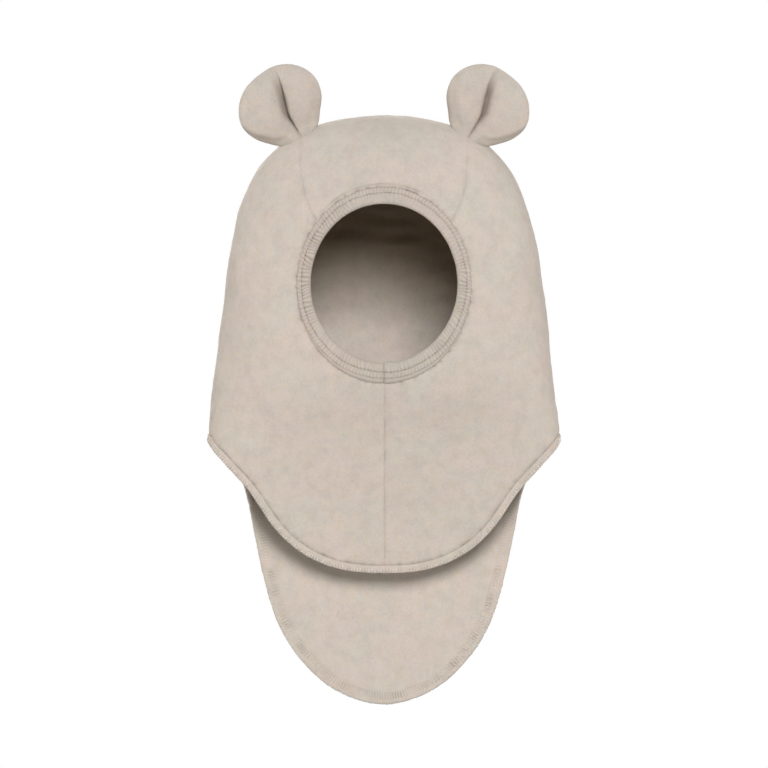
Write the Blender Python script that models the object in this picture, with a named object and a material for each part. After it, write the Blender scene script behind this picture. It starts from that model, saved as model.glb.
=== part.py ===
"""A baby's balaclava hat with two round ears, as the separate pieces it is sewn from.

Metres, +Z up. -Y is the wearer's front and +X the wearer's left. The origin is where the top of the
head touches the inside of the crown. Every line on the hood is kept as two numbers: the turn round
the head, from 0 at the middle of the front to 180 degrees at the middle of the back, and the drop
below the top of the crown.
"""

import math
from collections import namedtuple

import bmesh
import bpy
import numpy as np
from mathutils.geometry import delaunay_2d_cdt

MM = 0.001

# The hood
WALL = 2.2 * MM                    # brushed wool fleece
CROWN_TO_SHOULDER = 188.8 * MM     # from the crown down to the hem's highest point, at the side folds
SHOULDER_WIDTH = 204.8 * MM        # between the two side folds at the hem
FRONT_DEPTH = 58.0 * MM            # from the side folds forward to the face
BACK_DEPTH = 60.0 * MM             # from the side folds back to the back of the head
BIB_LENGTH = 76.5 * MM             # from the shoulder down to the lowest point of the front bib
FLAP_LENGTH = 152.5 * MM           # from the shoulder down to the tip of the neck flap
PIECE_GAP = 0.3 * MM               # between sewn pieces

# The face opening and the rib knit binding round it
FACE_DROP = 97.2 * MM              # crown to the middle of the opening
FACE_WIDTH = 84.7 * MM
FACE_HEIGHT = 92.6 * MM
BINDING_SIDE = 8.5 * MM            # width of the binding, seen from the front
BINDING_TOP = 9.8 * MM
BINDING_BOTTOM = 11.5 * MM
BINDING_THICKNESS = WALL + 2.2 * MM           # of the folded rib at the opening
PANEL_SHARE = 1 + PIECE_GAP / BINDING_SIDE    # where the panels begin, as a share of the binding's width

# The turned hem
HEM_WIDTH = 4.6 * MM
HEM_THICKNESS = WALL + 1.6 * MM

# The ears
EAR_RADIUS = 25.2 * MM
EAR_ACROSS = 0.293 * SHOULDER_WIDTH  # from the middle of the hood to the middle of an ear
EAR_RISE = 6.7 * MM                # middle of an ear above the crown
EAR_SETBACK = -6.0 * MM            # middle of an ear from the side folds, forward is negative
EAR_LEAN = math.radians(21.0)
EAR_FRONT_PUFF = 6.5 * MM
EAR_BACK_PUFF = 5.5 * MM
EAR_FULLNESS = 2.6                   # 2 puffs like a ball, more is flatter in the middle
EAR_FOLD_DEPTH = 5.0 * MM
EAR_FOLD_ACROSS = 2.5 * MM           # from the ear's middle towards the middle of the hood
EAR_FOLD_START = -0.35 * EAR_RADIUS  # from here down the fold has its whole depth
EAR_FOLD_END = 0.80 * EAR_RADIUS     # and from here up it has gone
EAR_FOLD_SOFT_SIDE = 7.0 * MM      # how far the outer lobe dips towards the fold
EAR_FOLD_SHARP_SIDE = 1.8 * MM     # how far the inner lobe does

# How finely the pieces are faceted
PANEL_STEP = 10.0 * MM
EDGE_STEP = 6.5 * MM
BINDING_STATIONS = 64
CUTTER_STEPS = (96, 48)              # round the hood, and down it
CUTTER_DROP = 4 * EAR_RADIUS
EAR_RIM_POINTS = 48
EAR_RINGS = ((0.965, 1), (0.86, 2))  # share of the rim's radius, one point for every so many of the rim's
EAR_COLUMNS = (-0.70, -0.54, -0.38, -0.24, -0.14, -0.05, 0.0, 0.05, 0.14, 0.32, 0.52)  # across from the fold
EAR_COLUMN_STEP = 0.16               # up each column, all in EAR_RADIUS

# The crown panel is laid out over an axis this far below the crown, and straight down from there
AXIS_DROP = 0.41 * CROWN_TO_SHOULDER

# The side panels are laid out by their turn, at this length for each radian, and down the side fold
SIDE_SCALE = (FRONT_DEPTH + BACK_DEPTH) / 2

# Level sections of the hood's outer face. drop is a share of CROWN_TO_SHOULDER, half_width of half
# of SHOULDER_WIDTH, front of FRONT_DEPTH and back of BACK_DEPTH.
Section = namedtuple("Section", "drop half_width front back")
SECTIONS = (
    Section(0.0000, 0.000, 0.000, 0.000),
    Section(0.0138, 0.283, 0.310, 0.310),
    Section(0.0568, 0.503, 0.545, 0.565),
    Section(0.0998, 0.609, 0.660, 0.690),
    Section(0.1674, 0.717, 0.770, 0.810),
    Section(0.2596, 0.802, 0.875, 0.925),
    Section(0.4132, 0.870, 0.965, 1.000),
    Section(0.5668, 0.909, 1.000, 0.980),
    Section(0.7819, 0.955, 0.920, 0.790),
    Section(1.0000, 1.000, 0.630, 0.450),
    Section(1.4040, 1.031, 0.240, 0.085),
    Section(1.8100, 1.037, 0.180, 0.060),
    Section(2.8000, 1.040, 0.180, 0.055),
)

# The hem below the front bib. drop is a share of BIB_LENGTH, from the shoulder down.
HemPoint = namedtuple("HemPoint", "turn drop")
FRONT_HEM = (
    HemPoint(0.0, 1.000),
    HemPoint(12.4, 0.968),
    HemPoint(23.2, 0.888),
    HemPoint(31.6, 0.772),
    HemPoint(39.6, 0.611),
    HemPoint(50.4, 0.349),
    HemPoint(59.4, 0.220),
    HemPoint(66.1, 0.144),
    HemPoint(75.4, 0.068),
    HemPoint(90.0, 0.000),
)

# The hem round the neck flap. drop is a share of FLAP_LENGTH, from the shoulder down.
BACK_HEM = (
    HemPoint(90.0, 0.000),
    HemPoint(110.0, 0.045),
    HemPoint(120.0, 0.095),
    HemPoint(126.2, 0.138),
    HemPoint(129.3, 0.178),
    HemPoint(132.6, 0.290),
    HemPoint(136.8, 0.452),
    HemPoint(141.0, 0.605),
    HemPoint(147.6, 0.757),
    HemPoint(153.1, 0.833),
    HemPoint(164.5, 0.947),
    HemPoint(180.0, 1.000),
)

# The seams between the crown panel and the side panels. along is -1 at the binding, 0 over the top of
# the crown and 1 at the hem. half_width is a share of SEAM_HALF_WIDTH.
SEAM_HALF_WIDTH = 0.2378 * SHOULDER_WIDTH  # at the ears
SEAM_FACE_TURN = math.radians(50.0)        # round the binding from its top
SEAM_HEM_TURN = math.radians(117.0)        # round the hood
SeamPoint = namedtuple("SeamPoint", "along half_width")
SEAM = (
    SeamPoint(-0.86, 0.884),
    SeamPoint(-0.74, 0.941),
    SeamPoint(-0.61, 0.976),
    SeamPoint(-0.38, 0.995),
    SeamPoint(0.00, 1.000),
    SeamPoint(0.17, 1.020),
    SeamPoint(0.34, 1.070),
    SeamPoint(0.51, 1.150),
    SeamPoint(0.68, 1.270),
    SeamPoint(0.85, 1.450),
)

# The rim of an ear. turn is the angle from the fold, positive towards the middle of the hood, and
# radius is a share of EAR_RADIUS.
RimPoint = namedtuple("RimPoint", "turn radius")
EAR_RIM = (
    RimPoint(-150.0, 0.945),
    RimPoint(-120.0, 0.995),
    RimPoint(-100.0, 1.022),
    RimPoint(-75.0, 0.968),
    RimPoint(-45.0, 0.888),
    RimPoint(-15.0, 0.840),
    RimPoint(15.0, 0.905),
    RimPoint(45.0, 0.978),
    RimPoint(70.0, 1.012),
    RimPoint(95.0, 0.975),
    RimPoint(120.0, 0.918),
    RimPoint(150.0, 0.915),
    RimPoint(180.0, 0.925),
)

# Cross sections. width is a share of the binding's or hem's width, from its free edge, and height a
# share of its thickness, from the middle of the cloth.
EdgePoint = namedtuple("EdgePoint", "width height")
BINDING_PROFILE = (
    EdgePoint(0.00, 0.00),
    EdgePoint(0.05, 0.32),
    EdgePoint(0.18, 0.50),
    EdgePoint(0.45, 0.50),
    EdgePoint(0.62, 0.41),
    EdgePoint(1.00, 0.34),
    EdgePoint(1.00, -0.34),
    EdgePoint(0.62, -0.41),
    EdgePoint(0.18, -0.50),
    EdgePoint(0.05, -0.32),
)
HEM_PROFILE = (
    EdgePoint(0.00, 0.22),
    EdgePoint(0.14, 0.42),
    EdgePoint(0.40, 0.50),
    EdgePoint(1.00, 0.42),
    EdgePoint(1.00, -0.42),
    EdgePoint(0.40, -0.50),
    EdgePoint(0.14, -0.42),
    EdgePoint(0.00, -0.22),
)

Look = namedtuple("Look", "colour roughness")
FLEECE = Look((0.60, 0.53, 0.46), 0.95)
RIB = Look((0.52, 0.45, 0.39), 0.95)


def smooth_curve(rows, samples=60):
    """A dense Catmull-Rom curve through rows of numbers, spaced by the chords between them."""
    points = np.array(rows, float)
    gaps = np.linalg.norm(np.diff(points, axis=0), axis=1)
    slopes = np.diff(points, axis=0) / gaps[:, None]
    inner = (slopes[:-1] * gaps[1:, None] + slopes[1:] * gaps[:-1, None]) / (gaps[:-1] + gaps[1:])[:, None]
    tangents = np.vstack([slopes[:1], inner, slopes[-1:]])
    curve = []
    for i, gap in enumerate(gaps):
        t = np.linspace(0.0, 1.0, samples, endpoint=False)[:, None]
        curve.append(
            (2 * t**3 - 3 * t**2 + 1) * points[i]
            + (t**3 - 2 * t**2 + t) * gap * tangents[i]
            + (3 * t**2 - 2 * t**3) * points[i + 1]
            + (t**3 - t**2) * gap * tangents[i + 1]
        )
    curve.append(points[-1:])
    return np.vstack(curve)


def evenly(path, step):
    """The same path with points about a step apart, both ends kept."""
    lengths = np.concatenate([[0.0], np.cumsum(np.linalg.norm(np.diff(path, axis=0), axis=1))])
    count = max(2, int(round(lengths[-1] / step)) + 1)
    places = np.linspace(0.0, lengths[-1], count)
    return np.column_stack([np.interp(places, lengths, path[:, k]) for k in range(path.shape[1])])


def section_tables():
    """Drop, and the squares of half width, front and back depth there. Squares stay smooth at the crown."""
    scale = np.array([CROWN_TO_SHOULDER, SHOULDER_WIDTH / 2, FRONT_DEPTH, BACK_DEPTH])
    rows = np.array(SECTIONS) * scale
    mirrored = rows[1] * np.array([1.0, -1.0, -1.0, -1.0])
    curve = smooth_curve([mirrored, *rows], 60)[60:]
    drop, squares = curve[:, 0], curve[:, 1:] ** 2
    return drop, squares, np.gradient(squares, drop, axis=0)


DROPS, SQUARES, SQUARE_SLOPES = section_tables()


def squares_at(drop, table=SQUARES):
    """Half width, front depth and back depth squared, or their slopes, at each drop."""
    return [np.interp(drop, DROPS, table[:, k]) for k in range(3)]


def on_hood(turn, drop):
    """Points of the hood's outer face, for turns in radians and drops."""
    turn, drop = np.broadcast_arrays(np.asarray(turn, float), np.asarray(drop, float))
    width, front, back = squares_at(drop)
    depth = np.where(np.cos(turn) > 0, front, back)
    return np.stack(
        [np.sqrt(width) * np.sin(turn), -np.sqrt(depth) * np.cos(turn), WALL - drop], axis=-1
    )


def on_front(x, drop):
    """The point of the hood's front at x."""
    width, front, _ = squares_at(drop)
    return np.stack([x, -np.sqrt(front * np.maximum(0.0, 1 - x**2 / width)), WALL - drop], axis=-1)


def turn_of(points):
    """The turn round the hood of points on it."""
    width, front, back = squares_at(WALL - points[:, 2])
    depth = np.where(points[:, 1] < 0, front, back)
    return np.arctan2(points[:, 0] / np.sqrt(width), -points[:, 1] / np.sqrt(depth))


def outward(points):
    """Unit normals of the hood's outer face."""
    x, y, drop = points[:, 0], points[:, 1], np.maximum(WALL - points[:, 2], 1e-7)
    width, front, back = squares_at(drop)
    width_slope, front_slope, back_slope = squares_at(drop, SQUARE_SLOPES)
    depth = np.where(y < 0, front, back)
    depth_slope = np.where(y < 0, front_slope, back_slope)
    ratio = width / depth
    rise = x**2 / width * width_slope + y**2 / depth * ratio * depth_slope
    normal = np.column_stack([2 * x, 2 * y * ratio, rise])
    return normal / np.linalg.norm(normal, axis=1)[:, None]


def over_crown(flat):
    """Points of the hood laid out flat as (x, run), where run goes back over the crown from its top."""
    x, run = flat[:, 0], flat[:, 1]
    quarter = AXIS_DROP * math.pi / 2
    angle = np.clip(run / AXIS_DROP, -math.pi / 2, math.pi / 2)
    near, far = np.zeros(len(x)), np.full(len(x), FRONT_DEPTH + BACK_DEPTH + AXIS_DROP)
    for _ in range(46):
        middle = (near + far) / 2
        drop = AXIS_DROP - middle * np.cos(angle)
        y = middle * np.sin(angle)
        width, front, back = squares_at(np.maximum(drop, 1e-9))
        inside = (drop > 0) & (x**2 / width + y**2 / np.where(y < 0, front, back) < 1)
        near = np.where(inside, middle, near)
        far = np.where(inside, far, middle)
    drop = AXIS_DROP - near * np.cos(angle) + np.maximum(np.abs(run) - quarter, 0.0)
    width, front, back = squares_at(drop)
    straight = np.sqrt(np.where(run < 0, front, back) * np.maximum(0.0, 1 - x**2 / width))
    y = np.where(np.abs(run) > quarter, np.sign(run) * straight, near * np.sin(angle))
    return np.column_stack([x, y, WALL - drop])


def run_of(points):
    """Where points of the hood lie once laid out flat over the crown, as (x, run)."""
    height = AXIS_DROP - (WALL - points[:, 2])
    angle = np.arctan2(points[:, 1], np.maximum(height, 0.0))
    below = np.maximum(-height, 0.0) * np.sign(points[:, 1])
    return np.column_stack([points[:, 0], angle * AXIS_DROP + below])


def binding_line(share, angles):
    """A line round the face opening. share is 0 at the opening and 1 at the binding's outer edge."""
    half_height = FACE_HEIGHT / 2 + share * (BINDING_TOP + BINDING_BOTTOM) / 2
    middle = FACE_DROP + share * (BINDING_BOTTOM - BINDING_TOP) / 2
    x = (FACE_WIDTH / 2 + share * BINDING_SIDE) * np.sin(angles)
    return on_front(x, middle - half_height * np.cos(angles))


def inward_from(line):
    """Unit directions that lie in the cloth and point up from the hem into it, for a hem that runs
    from the front to the back on the wearer's left."""
    tangent = np.gradient(line, axis=0)
    if abs(line[0, 0]) < 1e-6:
        tangent[0] = (1.0, 0.0, 0.0)
    if abs(line[-1, 0]) < 1e-6:
        tangent[-1] = (-1.0, 0.0, 0.0)
    up = np.cross(outward(line), tangent)
    return up / np.linalg.norm(up, axis=1)[:, None]


def moved_on_hood(points, direction, distance):
    """Points moved along the cloth and set back on it."""
    moved = points + direction * distance
    return on_hood(turn_of(moved), WALL - moved[:, 2])


def whole_hem():
    """The hood's lower edge on the wearer's left, from the middle of the bib to the tip of the flap."""
    rows = [(math.radians(r.turn) * SIDE_SCALE, r.drop * BIB_LENGTH) for r in FRONT_HEM]
    rows += [(math.radians(r.turn) * SIDE_SCALE, r.drop * FLAP_LENGTH) for r in BACK_HEM[1:]]
    before = (-rows[1][0], rows[1][1])
    after = (2 * rows[-1][0] - rows[-2][0], rows[-2][1])
    curve = smooth_curve([before, *rows, after], 60)[60:-60]
    return evenly(on_hood(curve[:, 0] / SIDE_SCALE, CROWN_TO_SHOULDER + curve[:, 1]), EDGE_STEP)


def seam_line(hem_edge):
    """The seam on the wearer's left laid out flat, from the binding over the crown to the hem."""
    start = run_of(binding_line(PANEL_SHARE, np.array([SEAM_FACE_TURN])))[0]
    end = run_of(hem_edge)[-1]
    runs = (-start[1], end[1])
    middle = [(r.half_width * SEAM_HALF_WIDTH, r.along * runs[r.along > 0]) for r in SEAM]
    return evenly(smooth_curve([start, *middle, end]), EDGE_STEP)


def beside(flat, distance):
    """A flat line moved sideways, to the left of its direction."""
    tangent = np.gradient(flat, axis=0)
    left = np.column_stack([-tangent[:, 1], tangent[:, 0]])
    return flat + left / np.linalg.norm(left, axis=1)[:, None] * distance


def inside(outline, points, margin):
    """Which points lie in a closed flat outline and at least a margin from it."""
    a, b = outline, np.roll(outline, -1, axis=0)
    within = np.zeros(len(points), bool)
    nearest = np.full(len(points), np.inf)
    for p, q in zip(a, b):
        crosses = (p[1] > points[:, 1]) != (q[1] > points[:, 1])
        if p[1] != q[1]:
            within ^= crosses & (points[:, 0] < (q[0] - p[0]) * (points[:, 1] - p[1]) / (q[1] - p[1]) + p[0])
        along = np.clip(((points - p) @ (q - p)) / max((q - p) @ (q - p), 1e-18), 0.0, 1.0)
        nearest = np.minimum(nearest, np.linalg.norm(points - p - along[:, None] * (q - p), axis=1))
    return within & (nearest > margin)


def triangulated(outline, step):
    """Triangles over a closed flat outline, with an even lattice of points inside it."""
    low, high = outline.min(0), outline.max(0)
    rows = int((high[1] - low[1]) / (step * math.sqrt(0.75))) + 2
    columns = int((high[0] - low[0]) / step) + 2
    lattice = np.array([
        (low[0] + (i + 0.5 * (j % 2)) * step, low[1] + j * step * math.sqrt(0.75))
        for j in range(rows) for i in range(columns)
    ])
    return fill_outline(outline, lattice[inside(outline, lattice, 0.55 * step)])


def fill_outline(outline, inner):
    """Triangles over a closed flat outline and the points inside it, facing up."""
    points = np.vstack([outline, inner])
    edges = [(i, (i + 1) % len(outline)) for i in range(len(outline))]
    flat, _, faces, origins, _, _ = delaunay_2d_cdt([tuple(p) for p in points], edges, [], 1, 1e-9)
    first = [o[0] for o in origins]
    triangles = []
    for a, b, c in faces:
        turned = (flat[b] - flat[a]).cross(flat[c] - flat[a]) < 0
        triangles.append((first[a], first[c], first[b]) if turned else (first[a], first[b], first[c]))
    return points, triangles


def add_object(name, points, faces, look):
    """A named object with its own material, its faces turned outward."""
    mesh = bpy.data.meshes.new(name)
    mesh.from_pydata([tuple(p) for p in points], [], faces)
    shape = bmesh.new()
    shape.from_mesh(mesh)
    bmesh.ops.recalc_face_normals(shape, faces=shape.faces)
    shape.to_mesh(mesh)
    shape.free()
    mesh.shade_smooth()
    mesh.set_sharp_from_angle(angle=math.radians(50))
    made = bpy.data.objects.new(name, mesh)
    bpy.context.scene.collection.objects.link(made)
    if look is not None:
        mesh.materials.append(material(name, look))
    return made


def material(name, look):
    """A plain surface in the piece's own colour."""
    made = bpy.data.materials.new(name)
    made.use_nodes = True
    shader = made.node_tree.nodes["Principled BSDF"]
    shader.inputs["Base Color"].default_value = (*look.colour, 1.0)
    shader.inputs["Roughness"].default_value = look.roughness
    shader.inputs["Metallic"].default_value = 0.0
    return made


def add_panel(name, outline, layout):
    """A panel of cloth: a flat outline, and the layout that puts its points on the hood."""
    flat, triangles = triangulated(outline, PANEL_STEP)
    outer = layout(flat)
    inner = outer - outward(outer) * WALL
    count, edge = len(outer), len(outline)
    faces = list(triangles)
    faces += [(a + count, c + count, b + count) for a, b, c in triangles]
    for i in range(edge):
        j = (i + 1) % edge
        faces.append((j, i, i + count, j + count))
    return add_object(name, np.vstack([outer, inner]), faces, FLEECE)


# Lengths down the side fold at DROPS
FOLD_LENGTHS = np.concatenate([[0.0], np.cumsum(np.hypot(np.diff(DROPS), np.diff(np.sqrt(SQUARES[:, 0]))))])


def side_flat(points):
    """Where points of the hood lie once a side panel is laid out flat."""
    down = np.interp(WALL - points[:, 2], DROPS, FOLD_LENGTHS)
    return np.column_stack([turn_of(points) * SIDE_SCALE, down])


def side_layout(side):
    """The layout of a side panel: side is 1 on the wearer's left and -1 on the right."""
    def place(flat):
        points = on_hood(flat[:, 0] / SIDE_SCALE, np.interp(flat[:, 1], FOLD_LENGTHS, DROPS))
        return points * np.array([side, 1.0, 1.0])
    return place


def add_panels():
    """The crown panel and the two side panels, which leave room for the binding and the hem."""
    hem = whole_hem()
    hem_edge = moved_on_hood(hem, inward_from(hem), HEM_WIDTH + PIECE_GAP)
    side_part = turn_of(hem) < SEAM_HEM_TURN
    seam = seam_line(hem_edge[side_part])
    side_seam = side_flat(over_crown(beside(seam, -PIECE_GAP / 2)))
    crown_seam = beside(seam, PIECE_GAP / 2)

    turns = binding_turns()
    half_station = math.pi / BINDING_STATIONS
    below = binding_line(PANEL_SHARE, turns[(turns > SEAM_FACE_TURN + half_station) & (turns < math.pi)])
    above = binding_line(PANEL_SHARE, turns[turns < SEAM_FACE_TURN - half_station])

    binding_end = (PIECE_GAP / 2, FACE_DROP + FACE_HEIGHT / 2 + BINDING_BOTTOM + PIECE_GAP)
    hem_start = (PIECE_GAP / 2, WALL - hem_edge[0, 2])
    front_seam = on_front(*evenly(np.array([binding_end, hem_start]), EDGE_STEP).T)
    side_hem = side_flat(hem_edge[side_part])[1:-1]
    side_outline = np.vstack([side_seam[::-1], side_flat(below), side_flat(front_seam), side_hem])
    for name, side in (("side_panel_left", 1.0), ("side_panel_right", -1.0)):
        add_panel(name, side_outline, side_layout(side))

    flap = run_of(hem_edge[~side_part])
    left_half = np.vstack([run_of(above), crown_seam, flap])
    mirror = np.array([-1.0, 1.0])
    outline = np.vstack([left_half, (left_half * mirror)[::-1][1:-1]])
    add_panel("crown_panel", outline, over_crown)


def add_loop(name, sections, look):
    """A closed loop through equal sections, each a row of points."""
    count, size = len(sections), len(sections[0])
    faces = []
    for i in range(count):
        for k in range(size):
            a, b = i * size + k, i * size + (k + 1) % size
            c, d = (i + 1) % count * size + (k + 1) % size, (i + 1) % count * size + k
            faces.append((a, b, c, d))
    return add_object(name, np.vstack(sections), faces, look)


def binding_turns():
    """The turns round the face opening, from its top, at which the binding and the panels have points."""
    return np.linspace(0.0, 2 * math.pi, BINDING_STATIONS, endpoint=False)


def add_binding():
    """The folded rib knit round the face opening: a full roll at the opening, thinner where it is sewn."""
    columns = []
    for point in BINDING_PROFILE:
        line = binding_line(point.width, binding_turns())
        columns.append(line + outward(line) * (point.height * BINDING_THICKNESS - WALL / 2))
    add_loop("face_binding", np.stack(columns, axis=1), RIB)


def add_hem():
    """The turned hem, one band all round the lower edge."""
    left = whole_hem()
    up = inward_from(left)
    right_line = left[::-1][1:-1] * np.array([-1.0, 1.0, 1.0])
    right_up = up[::-1][1:-1] * np.array([-1.0, 1.0, 1.0])
    line, up = np.vstack([left, right_line]), np.vstack([up, right_up])
    normal = outward(line)
    middle = line - normal * WALL / 2
    columns = [
        middle + up * point.width * HEM_WIDTH + normal * point.height * HEM_THICKNESS
        for point in HEM_PROFILE
    ]
    add_loop("neck_hem", np.stack(columns, axis=1), FLEECE)


def ear_rim(angle):
    """The ear's radius at an angle from the fold."""
    rows = [(math.radians(r.turn), r.radius) for r in EAR_RIM]
    before = [(turn - 2 * math.pi, radius) for turn, radius in rows[-2:]]
    after = [(turn + 2 * math.pi, radius) for turn, radius in rows[:2]]
    turns, shares = smooth_curve([*before, *rows, *after]).T
    return EAR_RADIUS * np.interp(angle, turns, shares)


def ear_fold(across, up):
    """How deep the fold is pressed in. It runs up the ear, deep at the foot and gone at the rim."""
    reach = np.clip((EAR_FOLD_END - up) / (EAR_FOLD_END - EAR_FOLD_START), 0.0, 1.0)
    fade = reach**2 * (3 - 2 * reach)
    off = across - EAR_FOLD_ACROSS
    width = np.where(off < 0, EAR_FOLD_SOFT_SIDE, EAR_FOLD_SHARP_SIDE)
    return EAR_FOLD_DEPTH * fade * np.exp(-((off / width) ** 2))


def ear_points():
    """The ear's rim and the points inside it, as (across, up) from its middle."""
    angles = np.linspace(-math.pi, math.pi, EAR_RIM_POINTS, endpoint=False)
    rim = np.column_stack([np.sin(angles), np.cos(angles)]) * ear_rim(angles)[:, None]
    rings = [rim[every - 1::every] * share for share, every in EAR_RINGS]
    ups = np.arange(-1.0, 1.0, EAR_COLUMN_STEP)
    columns = np.array([(across, up) for across in EAR_COLUMNS for up in ups]) * EAR_RADIUS
    columns[:, 0] += EAR_FOLD_ACROSS
    within = inside(rings[-1], columns, EAR_COLUMN_STEP / 3 * EAR_RADIUS)
    return rim[::-1], np.vstack([*rings, columns[within]])


def add_ear(name, side, cutter):
    """A padded ear with a fold pressed into its front, its foot shaped to the crown."""
    rim, inner = ear_points()
    flat, triangles = fill_outline(rim, inner)
    angle = np.arctan2(flat[:, 0], flat[:, 1])
    share = np.clip(np.linalg.norm(flat, axis=1) / ear_rim(angle), 0.0, 1.0)
    puff = np.sqrt(np.maximum(0.0, 1 - share**EAR_FULLNESS))
    front = puff * (EAR_FRONT_PUFF - ear_fold(flat[:, 0], flat[:, 1]))
    back = -puff * EAR_BACK_PUFF
    count, edge = len(flat), len(rim)
    inner_back = {i: i + count - edge for i in range(edge, count)}
    places = []
    for heights, rows in ((front, range(count)), (back, range(edge, count))):
        for i in rows:
            across, up = flat[i]
            x = -across * math.cos(EAR_LEAN) + up * math.sin(EAR_LEAN)
            z = across * math.sin(EAR_LEAN) + up * math.cos(EAR_LEAN)
            places.append((
                side * (EAR_ACROSS + x), EAR_SETBACK - heights[i], WALL + EAR_RISE + z
            ))
    faces = list(triangles)
    faces += [tuple(inner_back.get(i, i) for i in reversed(t)) for t in triangles]
    ear = add_object(name, places, faces, FLEECE)
    cut = ear.modifiers.new("seat on the crown", "BOOLEAN")
    cut.operation = "DIFFERENCE"
    cut.solver = "EXACT"
    cut.object = cutter
    return ear


def add_cutter():
    """The filled top of the hood, a gap larger than the hood, which the ears are cut by."""
    around, down = CUTTER_STEPS
    drops = CUTTER_DROP * (np.arange(1, down + 1) / down) ** 2
    turns = np.linspace(0.0, 2 * math.pi, around, endpoint=False)
    turn_grid = np.where(turns > math.pi, turns - 2 * math.pi, turns)
    points = [np.array([[0.0, 0.0, WALL + PIECE_GAP]])]
    for drop in drops:
        ring = on_hood(turn_grid, drop)
        points.append(ring + outward(ring) * PIECE_GAP)
    faces = [(0, 1 + i, 1 + (i + 1) % around) for i in range(around)]
    for j in range(down - 1):
        for i in range(around):
            a, b = 1 + j * around + i, 1 + j * around + (i + 1) % around
            faces.append((a, a + around, b + around, b))
    faces.append(tuple(1 + (down - 1) * around + i for i in range(around)))
    cutter = add_object("crown_cutter", np.vstack(points), faces, None)
    cutter.hide_render = True
    cutter.display_type = "WIRE"
    return cutter


def main():
    for old in list(bpy.data.objects):
        bpy.data.objects.remove(old)
    add_panels()
    add_binding()
    add_hem()
    cutter = add_cutter()
    add_ear("ear_left", 1.0, cutter)
    add_ear("ear_right", -1.0, cutter)


if __name__ == "__main__":
    main()
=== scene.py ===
from collections import namedtuple
from math import cos, exp, pi, radians, sin, sqrt, tau

import bmesh
import bpy
import numpy as np
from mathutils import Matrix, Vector, kdtree
from mathutils.geometry import delaunay_2d_cdt

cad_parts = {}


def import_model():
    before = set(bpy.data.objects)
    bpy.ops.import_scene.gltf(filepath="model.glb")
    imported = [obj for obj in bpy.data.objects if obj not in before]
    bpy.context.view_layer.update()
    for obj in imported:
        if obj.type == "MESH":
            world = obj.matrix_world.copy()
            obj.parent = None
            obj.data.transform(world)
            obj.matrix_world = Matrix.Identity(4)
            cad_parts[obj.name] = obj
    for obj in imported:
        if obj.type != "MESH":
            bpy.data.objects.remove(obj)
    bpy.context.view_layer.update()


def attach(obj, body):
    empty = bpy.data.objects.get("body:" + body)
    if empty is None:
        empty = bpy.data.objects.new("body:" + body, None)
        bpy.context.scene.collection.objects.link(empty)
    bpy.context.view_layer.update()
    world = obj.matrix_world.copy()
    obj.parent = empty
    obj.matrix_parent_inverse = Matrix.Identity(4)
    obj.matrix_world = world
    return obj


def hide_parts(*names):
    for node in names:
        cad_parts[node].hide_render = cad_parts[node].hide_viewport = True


# The looks of a baby's balaclava hat: brushed fleece panels, a ribbed binding round the face, a
# turned hem with its stitches, and two padded ears with a fold.
#
# Metres, +Z up. -Y is the wearer's front and +X the wearer's left. The origin is where the top of
# the head touches the inside of the crown. Lines on the hood are kept as the turn round the head,
# from 0 at the middle of the front to 180 degrees at the back, and the drop below the crown's top.

MM = 0.001
MIRROR = np.array([-1.0, 1.0, 1.0])


def table(names, *rows):
    """Rows of numbers, with a name for each column."""
    kind = namedtuple("Row", names)
    return [kind(*row) for row in rows]


# The hood, as in the CAD
WALL = 2.2 * MM
CROWN_TO_SHOULDER = 188.8 * MM
SHOULDER_WIDTH = 204.8 * MM
FRONT_DEPTH = 58.0 * MM
BACK_DEPTH = 60.0 * MM
BIB_LENGTH = 76.5 * MM
FLAP_LENGTH = 152.5 * MM
FACE_DROP = 97.2 * MM
FACE_WIDTH = 84.7 * MM
FACE_HEIGHT = 92.6 * MM
BINDING_SIDE = 8.5 * MM
BINDING_TOP = 9.8 * MM
BINDING_BOTTOM = 11.5 * MM
BINDING_THICKNESS = WALL + 2.2 * MM
HEM_WIDTH = 4.6 * MM
HEM_THICKNESS = WALL + 1.6 * MM
AXIS_DROP = 0.41 * CROWN_TO_SHOULDER
SIDE_SCALE = (FRONT_DEPTH + BACK_DEPTH) / 2

# The ears, as in the CAD
EAR_RADIUS = 25.2 * MM
EAR_ACROSS = 0.293 * SHOULDER_WIDTH
EAR_RISE = 6.7 * MM
EAR_SETBACK = -6.0 * MM
EAR_LEAN = radians(21.0)
EAR_FRONT_PUFF = 6.5 * MM
EAR_BACK_PUFF = 5.5 * MM
EAR_FULLNESS = 2.6

# How finely the cloth is meshed
CLOTH_STEP = 1.6 * MM
RING_SPACING = CLOTH_STEP / (FACE_WIDTH / 2)  # the same round the face, in radians
EDGE_ROWS = (0.45 * MM, 1.0 * MM, 1.5 * MM, 2.0 * MM, 2.5 * MM, 3.2 * MM)  # rows that follow a panel's edge
EAR_STEP = 1.0 * MM
EAR_RIM_COUNT = 168
EAR_RINGS = (0.994, 0.978, 0.95, 0.91)  # rows that follow an ear's rim
# Rows of points along an ear's fold, in mm across from it
FOLD_ROWS = (-5.0, -4.2, -3.4, -2.7, -2.0, -1.3, -0.6, -0.2, 0.0, 0.2, 0.45, 0.8, 1.3, 2.0)
FINE_STEP = 0.3 * MM  # along lines that distances are taken from
CURVE_SAMPLES = 60  # points of a curve from one of its rows to the next
SEWN_GAP = 0.03 * MM  # between two pieces sewn together
CLOTH_SHARP, EAR_SHARP, BAND_SHARP = 60.0, 75.0, 80.0  # folds from these degrees on are shaded as edges

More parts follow.
